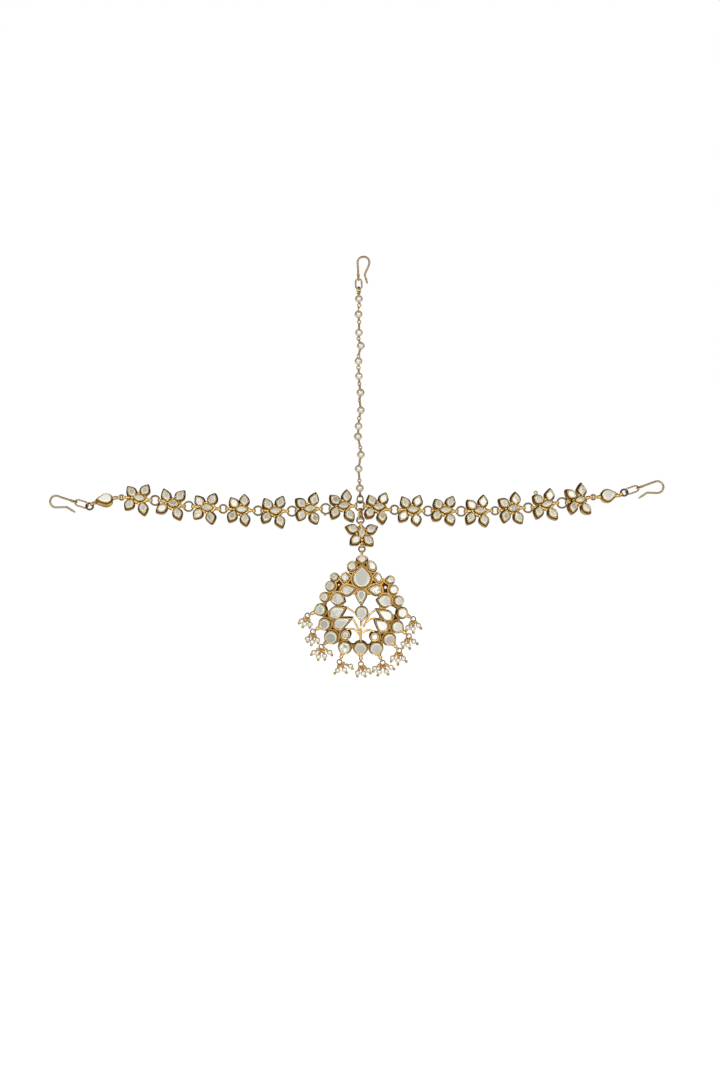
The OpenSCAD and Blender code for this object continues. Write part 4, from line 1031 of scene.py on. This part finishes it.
OPENINGS = [
    [(349.5, 593.5), (357.8, 594.5), (361.2, 603), (361.4, 619), (360.8, 633), (360, 643), (352.4, 644.8), (347, 643.5),
     (348.5, 637.5), (347, 631.5), (342.5, 628), (345, 622), (350.5, 618.8), (344.5, 618.5), (340.5, 614.5),
     (344, 609.5), (342, 602), (343, 599), (345.5, 594)],
    [(364.5, 595.5), (373, 593.5), (377, 594), (380.5, 598), (380.5, 604.5), (379.5, 610.5), (381, 615),
     (378.5, 620.5), (376, 622.5), (379, 629.5), (377, 633.5), (371.5, 636), (372.5, 641), (371.5, 645.5),
     (368.4, 645.5), (364.5, 645), (361, 643.5), (361.8, 633), (362.2, 619), (362.4, 603)],
    [(332.3, 602), (326.5, 600), (324.3, 606.5), (325.3, 610.5), (330.5, 610), (334.5, 607.3), (335, 604.5)],
    [(388.5, 605.5), (386.5, 606.2), (386.5, 610.5), (392, 612), (392.8, 614.6), (398.2, 614.5), (398.5, 609.5),
     (394, 606.5)],
    [(337.9 + 0.95 * math.cos(TAU * k / 12), 584 + 0.95 * math.sin(TAU * k / 12)) for k in range(12)],
    [(386.3 + 1.4 * math.cos(TAU * k / 12), 586.7 + 1.4 * math.sin(TAU * k / 12)) for k in range(12)],
]
WIRES = [
    (0.4, 1, [(345.5, 606.6), (349.5, 609.2), (355.6, 613.2)]),
    (0.4, 1, [(351.5, 617.6), (354.5, 621.6), (358.6, 630.4)]),
    (0.42, 1, [(376.5, 609.4), (370.5, 613.5), (367.6, 618.4), (363.8, 626.5)]),
    (0.36, 1.1, [(375, 618.4), (370.6, 619.3), (366, 622.6)]),
    (0.5, 1.2, [(361.4, 619), (360.8, 630), (360.6, 644)]),
    (0.42, 1.1, [(344.8, 630.5), (349.4, 629), (353.8, 629.5), (357.3, 632), (360.3, 636.5)]),
    (0.42, 1.1, [(361.2, 633.4), (366, 631), (370, 630.4), (374.4, 632.4), (378.4, 634.6)]),
    (0.5, 1.3, [(361.4, 602.5), (361.6, 609)]),
]
CLUSTER_R, CLUSTER_HALF, SEED_R = 1.27, 0.33, 1.48
CLUSTERS = [
    (307.5, 615.5, 17, [(301.5, 621, 299, 623.3), (304.5, 624, 302.6, 627.2), (310, 624.3, 309.8, 627.6)]),
    (313, 631.5, 19, [(307.5, 638.9, 307.5, 642), (312.2, 641.9, 311.2, 645.2), (317.4, 640, 318.2, 643.2)]),
    (321.5, 646.8, 21, [(313.9, 652.5, 311.1, 655), (318.4, 656.6, 318.2, 660), (324.6, 655.9, 324.9, 659.8), (329.6, 652.3, 332.1, 655.4)]),
    (339.5, 661.9, 25, [(337.7, 670.4, 334.6, 673.5), (344.4, 669.9, 346.6, 673), (350.4, 666.2, 352.6, 668.8)]),
    (361, 664, 26, [(357.6, 672.7, 357.3, 676.4), (363.4, 673.4, 365.4, 676.4), (368.3, 670.2, 370.6, 673.4)]),
    (382.6, 662.7, 27, [(374.7, 668.3, 373, 671.6), (379.3, 672, 377.7, 675.6), (386.2, 671.4, 388.3, 674.6), (390.9, 667.4, 394.3, 669.3)]),
    (399.2, 650.6, 22, [(392.5, 658, 391, 661.6), (398, 660.4, 398, 664.8), (403.4, 658.6, 406.5, 661.8)]),
    (408.8, 636.1, 20, [(403.1, 643.8, 402.9, 648), (408, 645.2, 410, 649), (413.6, 641.4, 417.6, 644)]),
    (413.2, 619, 18, [(408, 627.6, 406, 630.6), (412.9, 628.9, 413.4, 632.8), (418.3, 625.4, 421.2, 628.6)]),
]


def inside(p, poly):
    hit = False
    for i in range(len(poly)):
        a, b = poly[i], poly[i - 1]
        if (a[1] > p[1]) != (b[1] > p[1]) and p[0] < (b[0] - a[0]) * (p[1] - a[1]) / (b[1] - a[1]) + a[0]:
            hit = not hit
    return hit


def finer(poly, step):
    out = []
    for i in range(len(poly)):
        a, b = Vector(poly[i]), Vector(poly[(i + 1) % len(poly)])
        n = max(1, int(math.ceil((b - a).length / step)))
        out += [tuple(a.lerp(b, k / n)) for k in range(n)]
    return out


def sheet(shape, borders, keep, top, low, looks, extra=()):
    """A sheet following the dome: the parts of the chart that keep() accepts, between the border loops."""
    pts, edges = [], []
    for lp in borders:
        b = len(pts)
        pts += [Vector(p) for p in lp]
        edges += [(b + i, b + (i + 1) % len(lp)) for i in range(len(lp))]
    pts += [Vector(p) for p in extra]
    vs, es, fs, _, _, _ = delaunay_2d_cdt(pts, edges, [], 0, 1e-4)
    tris = []
    for f in fs:
        c = sum((vs[i] for i in f), Vector((0, 0))) / len(f)
        if keep(c):
            tris.append(tuple(f))
    used = sorted({i for t in tris for i in t})
    place = {v: k for k, v in enumerate(used)}
    base, n = len(shape.v), len(used)
    for d, look in ((top, looks[0]), (low, looks[1])):
        for i in used:
            q = under((vs[i].x, vs[i].y), d)
            if d == top:
                q += wobble(q, 1.2, 0.05)
            shape.v.append(q)
            shape.look.append(look)
    count = {}
    for t in tris:
        for i in range(len(t)):
            a, b = t[i], t[(i + 1) % len(t)]
            count[(a, b)] = count.get((a, b), 0) + 1
    for t in tris:
        shape.f.append(tuple(base + place[i] for i in t))
        shape.m.append(0)
        shape.f.append(tuple(base + n + place[i] for i in reversed(t)))
        shape.m.append(0)
    for (a, b) in count:
        if (b, a) not in count:
            a, b = place[a], place[b]
            shape.f.append((base + b, base + a, base + n + a, base + n + b))
            shape.m.append(0)


def plate(shape, outlines):
    """The backing sheet, painted dark (painted shade between the settings), and above it the gold collars that join the
    settings.
    """
    edge = finer(PLATE_EDGE, 2.0)
    holes = [finer(o, 2.0) for o in OPENINGS]
    flat_pts = [Vector(p) for lp in [edge] + holes for p in lp]
    extra = []
    x = 316.0
    while x < 408:
        y = 556.0
        while y < 654:
            p = (x + 0.37, y + 0.29)
            if inside(p, edge) and not any(inside(p, o) for o in holes):
                if min((Vector(p) - q).length for q in flat_pts) > 1.4:
                    extra.append(p)
            y += 3.4
        x += 3.4

    def whole(c):
        return inside(c, edge) and not any(inside(c, o) for o in holes)
    # The sheet's top is fully dark and red (first look number 1.0): painted shade between the settings.
    sheet(shape, [edge] + holes, whole, 2.3, 3.1, ((1.0, 0.8, 0.2, 0), (0.35, 0.8, 0.2, 0)), extra)
    boxes = [(min(p[0] for p in o), max(p[0] for p in o), min(p[1] for p in o), max(p[1] for p in o)) for o in outlines]

    def collar(c):
        if not any(b[0] <= c[0] <= b[1] and b[2] <= c[1] <= b[3] and inside(c, o) for b, o in zip(boxes, outlines)):
            return False
        return whole(c)
    # The collars' tops are darker and redder (0.48, 0.8), their undersides dark: painted shade between the settings.
    sheet(shape, [edge] + holes + outlines, collar, 0.75, 2.0, ((0.48, 0.8, 0.15, 0.0), (1.0, 0.8, 0.2, 0)))


def smooth_path(points, steps=7):
    p = [points[0] * 2 - points[1]] + points + [points[-1] * 2 - points[-2]]
    out = []
    for i in range(1, len(p) - 2):
        for k in range(steps):
            t = k / steps
            out.append(0.5 * ((2 * p[i]) + (p[i + 1] - p[i - 1]) * t + (2 * p[i - 1] - 5 * p[i] + 4 * p[i + 1] - p[i + 2]) * t * t
                              + (3 * p[i] - p[i - 1] - 3 * p[i + 1] + p[i + 2]) * t ** 3))
    return out + [points[-1]]


pend, gems = Shape(), Shape()
collars = []


def on_chart(m, points):
    out = []
    for p in points:
        q = m @ p
        out.append((q.x / U + 363.5, 257.5 - q.y / U))
    return out


for i, d in enumerate(DROPS):
    p = (d[0], d[1])
    m = on_dome(p)
    lip = max(0.98, d[5] + 0.42)
    if d[3]:
        t = flat((d[3] - d[0]) * U, (d[1] - d[4]) * U, dome_lean(p), dome_turn(p))
        m = m @ rot_z(math.degrees(math.atan2(t.y, t.x)))
        out = drop_outline((d[2] + 0.7) * U, t.length + 0.25, 0, 0.03, 17 if i else 22, 7)
    else:
        out = round_outline((d[2] + 0.65) * U, 44)
    bezel(pend, out, m, 0.0, -PEND_DEPTH, lip, 200 + i * 3.1, 1.0, wall=0.36, dark=0.12, crest_highlight=0.4, redden=0.8, shade=0.22)
    collars.append(on_chart(m, out(-0.7)))
    gem(gems, out, m, 0.0, lip, 0.36 if d[2] < 5.2 else 0.42, grey(DROP_TONES[i]) if i else DROP_TONES[i], 40 + i * 0.71)
for i, (p, corners, tone) in enumerate(PANES):
    m = on_dome(p)
    flat_pts = [flat((c[0] - p[0]) * U, (p[1] - c[1]) * U, dome_lean(p), dome_turn(p)) for c in corners]
    out = pane_outline(flat_pts)
    bezel(pend, out, m, 0.0, -PEND_DEPTH, 0.92, 400 + i * 5, wall=0.36, dark=0.08, crest_highlight=0.4, redden=0.8, shade=0.18)
    collars.append(on_chart(m, out(-0.6)))
    gem(gems, out, m, 0.0, 0.92, 0.26, tone, 60 + i * 0.9)
plate(pend, collars)
for half, depth, pts in WIRES:
    path = smooth_path([under(p, depth) for p in pts])
    pend.tube(path, half + 0.12, 12, look=(0.12, 0.3, 0, 0.1))
m = on_dome((361.6, 626.9))
bead_at = m @ Vector((0, 0, -0.35))
gems.ball(bead_at, 1.0, dome_n((361.6, 626.9)), 12, 18, (0.35, 1.0, 0, 0), 0, 0.9)


def seat_of(c):
    return (DROPS[c[2]][0], DROPS[c[2]][1])


def cluster_z(c):
    return dome_z(seat_of(c)) - 1.9


def toward(c):
    s = seat_of(c)
    return Vector((s[0] - c[0], c[1] - s[1], 0)).normalized()


# Collar rows: inset, height, deep. The deep numbers darken the collar's foot, walls and inner edge and leave its crest
# light: painted shade.
COLLAR_ROWS = ((0.3, -3.3, 0.4), (0.05, -3.2, 0.6), (0.0, -2.6, 0.7), (0.0, -1.3, 0.75), (0.08, -0.98, 0.6), (0.2, -0.84, 0.25),
               (0.36, -0.8, 0.05), (0.52, -0.84, 0.2), (0.7, -0.95, 0.6), (1.0, -1.2, 0.8))
for c in CLUSTERS:
    z = cluster_z(c)
    t = toward(c)
    p = at(c, z) + t * CLUSTER_R
    pend.hoop(p, t.cross(Vector((0, 0, 1))), 0.74, 0.28, 10, 26, (0.3, 0.4, 0, 0), uneven=0.02)
    s = seat_of(c)
    a, b = p + t * 0.74, at(s, dome_z(s) - 2.1)
    v = b - a
    u = v.normalized()
    edge = v.length - DROPS[c[2]][2] * U
    n = 9
    path = [a + u * (edge + 0.5) * k / n for k in range(n + 1)]
    radii = [0.6, 1.0, 1.05, 0.95, 0.88, 0.95, 1.0, 1.15, 1.3, 1.4]
    seat = on_dome(s)
    d = (seat.inverted() @ (a + u * (edge - 0.2)))
    wide = (DROPS[c[2]][2] + 0.9) * U
    collar = drop_outline(wide, wide + max(0.7, 0.6 * edge), 0, 0.0, 18, 6, blunt=0.9)
    pend.loft([[Vector((q.x, q.y, z2)) for q in collar(inset)] for inset, z2, _ in COLLAR_ROWS],
              [(deep, 0.3, 0.2, 0) for _, _, deep in COLLAR_ROWS], 0, matrix=seat @ rot_z(math.degrees(math.atan2(d.y, d.x))))
    # The neck's looks alternate lighter and darker to paint its lumps, with a little painted highlight: painted shade
    # and highlight.
    pend.tube(path, 0.45, 12, radii=radii, looks=[(0.02 + 0.25 * (k % 2), 0.3, 0, 0.1) for k in range(n + 1)])
pend.hoop(at(PEND_LOOP), (1, 0, 0), LOOP_R, LOOP_HALF, 10, 28, (0.05, 0.3, 0, 0), uneven=0.02)
a, b = at(PEND_LOOP) - Vector((0, LOOP_R, 0)), under((362, 560.5), 2.3)
# The neck darkens where it goes into the plate (first look number 0.1, then 0.5): painted shade.
pend.tube([a.lerp(b, k / 5) for k in range(6)], 0.6, 12, radii=[0.6, 0.74, 0.8, 0.78, 0.72, 0.6],
          looks=[(0.1, 0.4, 0, 0)] * 3 + [(0.5, 0.6, 0, 0)] * 3)
piece("pendant_settings", pend, [GOLD], "pendant", ["pendant_frame"])
piece("pendant_gems", gems, [STONE], "pendant", ["pendant_stones"], sharp=22)

for ci, c in enumerate(CLUSTERS):
    s = Shape()
    z = cluster_z(c)
    centre = at(c, z)
    s.hoop(centre, (0, 0, 1), CLUSTER_R, CLUSTER_HALF, 10, 34, (0.75, 0.0, 0, 0), 1, seam=1.0 + ci, uneven=0.03)
    for j, q in enumerate(c[3]):
        dz = 0.45 if j % 2 == 0 else -0.45
        d0 = Vector((q[0] - c[0], c[1] - q[1], 0)).normalized()
        start = centre + d0 * CLUSTER_R
        pearl_at = at((q[0], q[1]), z + dz)
        tip = at((q[2], q[3]), z + dz)
        v = pearl_at - start
        u = v.normalized()
        s.tube([start.lerp(pearl_at, k / 5) for k in range(6)], 0.26, 8, look=(0.6, 0.5, 0, 0), mat=1)
        s.hoop(start, d0.cross(Vector((0, 0, 1))), 0.46, 0.2, 8, 18, (0.15, 0.6, 0, 0), 1, uneven=0.01)
        room_left = max(0.3, v.length - SEED_R - 0.5)
        lump = min(0.86, 0.5 + room_left * 0.3)
        s.ball(start + u * (0.35 + lump * 0.6), lump, u, 9, 14, (0.42, 0.75, 0, 0), 1, 0.85)
        s.coil(start + u * 0.4, u, max(0.5, room_left - 0.1), lump * 0.9, 0.2, 2.4, (0.05, 0.35, 0, 0.1), 1)
        s.ball(pearl_at - u * (SEED_R + 0.02), 0.62, u, 8, 12, (0.5, 0.3, 0, 0), 1, 0.7)
        out = (tip - pearl_at).normalized()
        s.ball(pearl_at, SEED_R, out, 16, 24, (0, 0.6 + 0.4 * (j % 2), 0, 0), 0, 0.94, 0.26)
        for sgn in (1, -1):
            s.hoop(pearl_at + out * sgn * 1.02, out, 0.34, 0.17, 7, 14, (0.3, 0.7, 0, 0), 1, uneven=0.0)
        s.tube([pearl_at + out * 0.95, pearl_at.lerp(tip, 0.8)], 0.34, 8, look=(0.2, 0.7, 0, 0), mat=1)
        s.ball(tip - out * 0.22, 0.78, out, 9, 14, (0.4, 0.0, 0, 0), 1, 1.1)
    piece("pearl_cluster_%d" % (ci + 1), s, [PEARL, WARM], "pendant", ["cluster_%d" % (ci + 1)], sharp=50)

# ------------------------------------------------------------------ camera, floor and light
cam_data = bpy.data.cameras.new("camera")
cam_data.sensor_width = 36
cam_data.lens = 100
cam_data.clip_start, cam_data.clip_end = 0.05, 30
cam = bpy.data.objects.new("camera", cam_data)
bpy.context.scene.collection.objects.link(cam)
DIST = 1.08 * U * 100 / 36          # metres that put U mm under each chart unit
cam.location = ((360 - 363.5) * U / 1000, -DIST, (257.5 - 540) * U / 1000)
cam.rotation_euler = (math.radians(90), 0, 0)
bpy.context.scene.camera = cam


def floor_material():
    n = Nodes("pale_floor")
    where = n.place()
    base = n.mix(n.span(n.noise(where, 6, 2, 0.5), 0.3, 0.7), (0.93, 0.93, 0.93), (0.955, 0.955, 0.955))
    n.link(base, n.shader.inputs["Base Color"])
    n.set(Roughness=0.9, Specular_IOR_Level=0.0, Emission_Color=(1.0, 1.0, 1.0, 1.0), Emission_Strength=0.46)
    # a faint mirror image, as on a polished table
    gloss = n.new("ShaderNodeBsdfAnisotropic")
    n.link(n.span(n.noise(where, 40, 2, 0.5), 0.3, 0.7, 0.05, 0.09), gloss.inputs["Roughness"])
    both = n.new("ShaderNodeMixShader")
    both.inputs[0].default_value = 0.10
    n.link(n.shader.outputs[0], both.inputs[1])
    n.link(gloss.outputs[0], both.inputs[2])
    n.link(both.outputs[0], n.tree.nodes["Material Output"].inputs["Surface"])
    return n.mat


fl = bpy.data.meshes.new("floor")
half = 4.0
fl.from_pydata([(-half, -half, 0), (half, -half, 0), (half, half, 0), (-half, half, 0)], [], [(0, 1, 2, 3)])
fl.materials.append(floor_material())
floor = bpy.data.objects.new("floor", fl)
floor.location = (0, 0, -0.22)
bpy.context.scene.collection.objects.link(floor)
floor.visible_glossy = False


def softbox(name, where, size, power, aim=(0.0, 0.0, -0.13), color=(1, 1, 1)):
    d = bpy.data.lights.new(name, "AREA")
    d.shape = "RECTANGLE"
    d.size, d.size_y = size
    d.energy = power
    d.color = color
    o = bpy.data.objects.new(name, d)
    o.location = where
    o.rotation_euler = (Vector(aim) - Vector(where)).to_track_quat("-Z", "Y").to_euler()
    bpy.context.scene.collection.objects.link(o)
    return o


softbox("key_left", (-0.75, -1.0, 0.75), (0.45, 0.45), 3.2)
softbox("key_right", (1.05, -0.9, 0.50), (0.4, 0.6), 3.0)
softbox("front_left", (-0.46, -1.62, 0.10), (0.36, 1.2), 4.4, aim=(0.0, 0.0, -0.12))
softbox("front_right", (0.46, -1.62, 0.10), (0.36, 1.2), 4.4, aim=(0.0, 0.0, -0.12))

# the room: even soft light on matt things, a ceiling, horizon band and dark
# back wall for gloss to mirror, and plain white where it is seen directly
w = bpy.data.worlds.new("studio")
w.use_nodes = True
bpy.context.scene.world = w
nt = w.node_tree
nt.nodes.clear()
outp = nt.nodes.new("ShaderNodeOutputWorld")
path_node = nt.nodes.new("ShaderNodeLightPath")


def background(value):
    n = nt.nodes.new("ShaderNodeBackground")
    n.inputs[0].default_value = (value, value, value, 1)
    return n


def shader_mix(fac, a, b):
    n = nt.nodes.new("ShaderNodeMixShader")
    nt.links.new(fac, n.inputs[0])
    nt.links.new(a, n.inputs[1])
    nt.links.new(b, n.inputs[2])
    return n.outputs[0]


tc = nt.nodes.new("ShaderNodeTexCoord")
sep = nt.nodes.new("ShaderNodeSeparateXYZ")
nt.links.new(tc.outputs["Generated"], sep.inputs[0])


def world_ramp(socket, stops):
    remap = nt.nodes.new("ShaderNodeMapRange")
    remap.inputs[1].default_value, remap.inputs[2].default_value = -1, 1
    nt.links.new(socket, remap.inputs[0])
    ramp = nt.nodes.new("ShaderNodeValToRGB")
    nt.links.new(remap.outputs[0], ramp.inputs[0])
    cr = ramp.color_ramp
    cr.interpolation = "EASE"
    cr.elements[0].position, cr.elements[0].color = (stops[0][0] + 1) / 2, (stops[0][1],) * 3 + (1,)
    cr.elements[1].position, cr.elements[1].color = (stops[-1][0] + 1) / 2, (stops[-1][1],) * 3 + (1,)
    for pos, v in stops[1:-1]:
        e = cr.elements.new((pos + 1) / 2)
        e.color = (v, v, v, 1)
    return ramp.outputs[0]


def world_mix(fac, a, b, kind="MIX"):
    n = nt.nodes.new("ShaderNodeMix")
    n.data_type = "RGBA"
    n.blend_type = kind
    for i, x in ((0, fac), (6, a), (7, b)):
        if isinstance(x, (int, float)):
            n.inputs[i].default_value = x
        elif isinstance(x, tuple):
            n.inputs[i].default_value = (*x, 1.0)
        else:
            nt.links.new(x, n.inputs[i])
    return n.outputs[2]


depth = world_ramp(sep.outputs[1], ((-1, 0.30), (-0.985, 0.45), (-0.95, 0.78), (-0.85, 0.74), (-0.6, 0.4), (-0.3, 0.13), (0.0, 0.045), (0.92, 0.04), (1, 0.1)))
height = world_ramp(sep.outputs[2], ((-1, 0.55), (-0.3, 0.7), (0.0, 0.85), (0.3, 1.1), (0.6, 1.1), (1, 0.7)))
below = world_ramp(sep.outputs[2], ((-1, 0.5), (-0.6, 0.75), (-0.3, 0.45), (-0.1, 0.06), (0.0, 0.0), (1, 0.0)))
dim = world_mix(1.0, world_mix(1.0, depth, height, "MULTIPLY"), below, "ADD")
# a low white wall straight behind, for the table's mirror image
wall_y = world_ramp(sep.outputs[1], ((-1, 0.0), (0.955, 0.0), (0.975, 1.0), (1, 1.0)))
wall_z = world_ramp(sep.outputs[2], ((-1, 0.0), (-0.1, 0.0), (-0.04, 1.0), (0.2, 1.0), (0.26, 0.0), (1, 0.0)))
wall = world_mix(1.0, wall_y, wall_z, "MULTIPLY")
room = nt.nodes.new("ShaderNodeBackground")
nt.links.new(world_mix(wall, dim, (1.0, 1.0, 1.0)), room.inputs[0])
room.inputs[1].default_value = 1.0
even = background(1.0)
even.inputs[1].default_value = 0.66
seen = background(1.0)
lit = shader_mix(path_node.outputs["Is Glossy Ray"], even.outputs[0], room.outputs[0])
nt.links.new(shader_mix(path_node.outputs["Is Camera Ray"], lit, seen.outputs[0]), outp.inputs[0])

bpy.context.scene.view_settings.view_transform = "Standard"
bpy.context.scene.view_settings.look = "None"
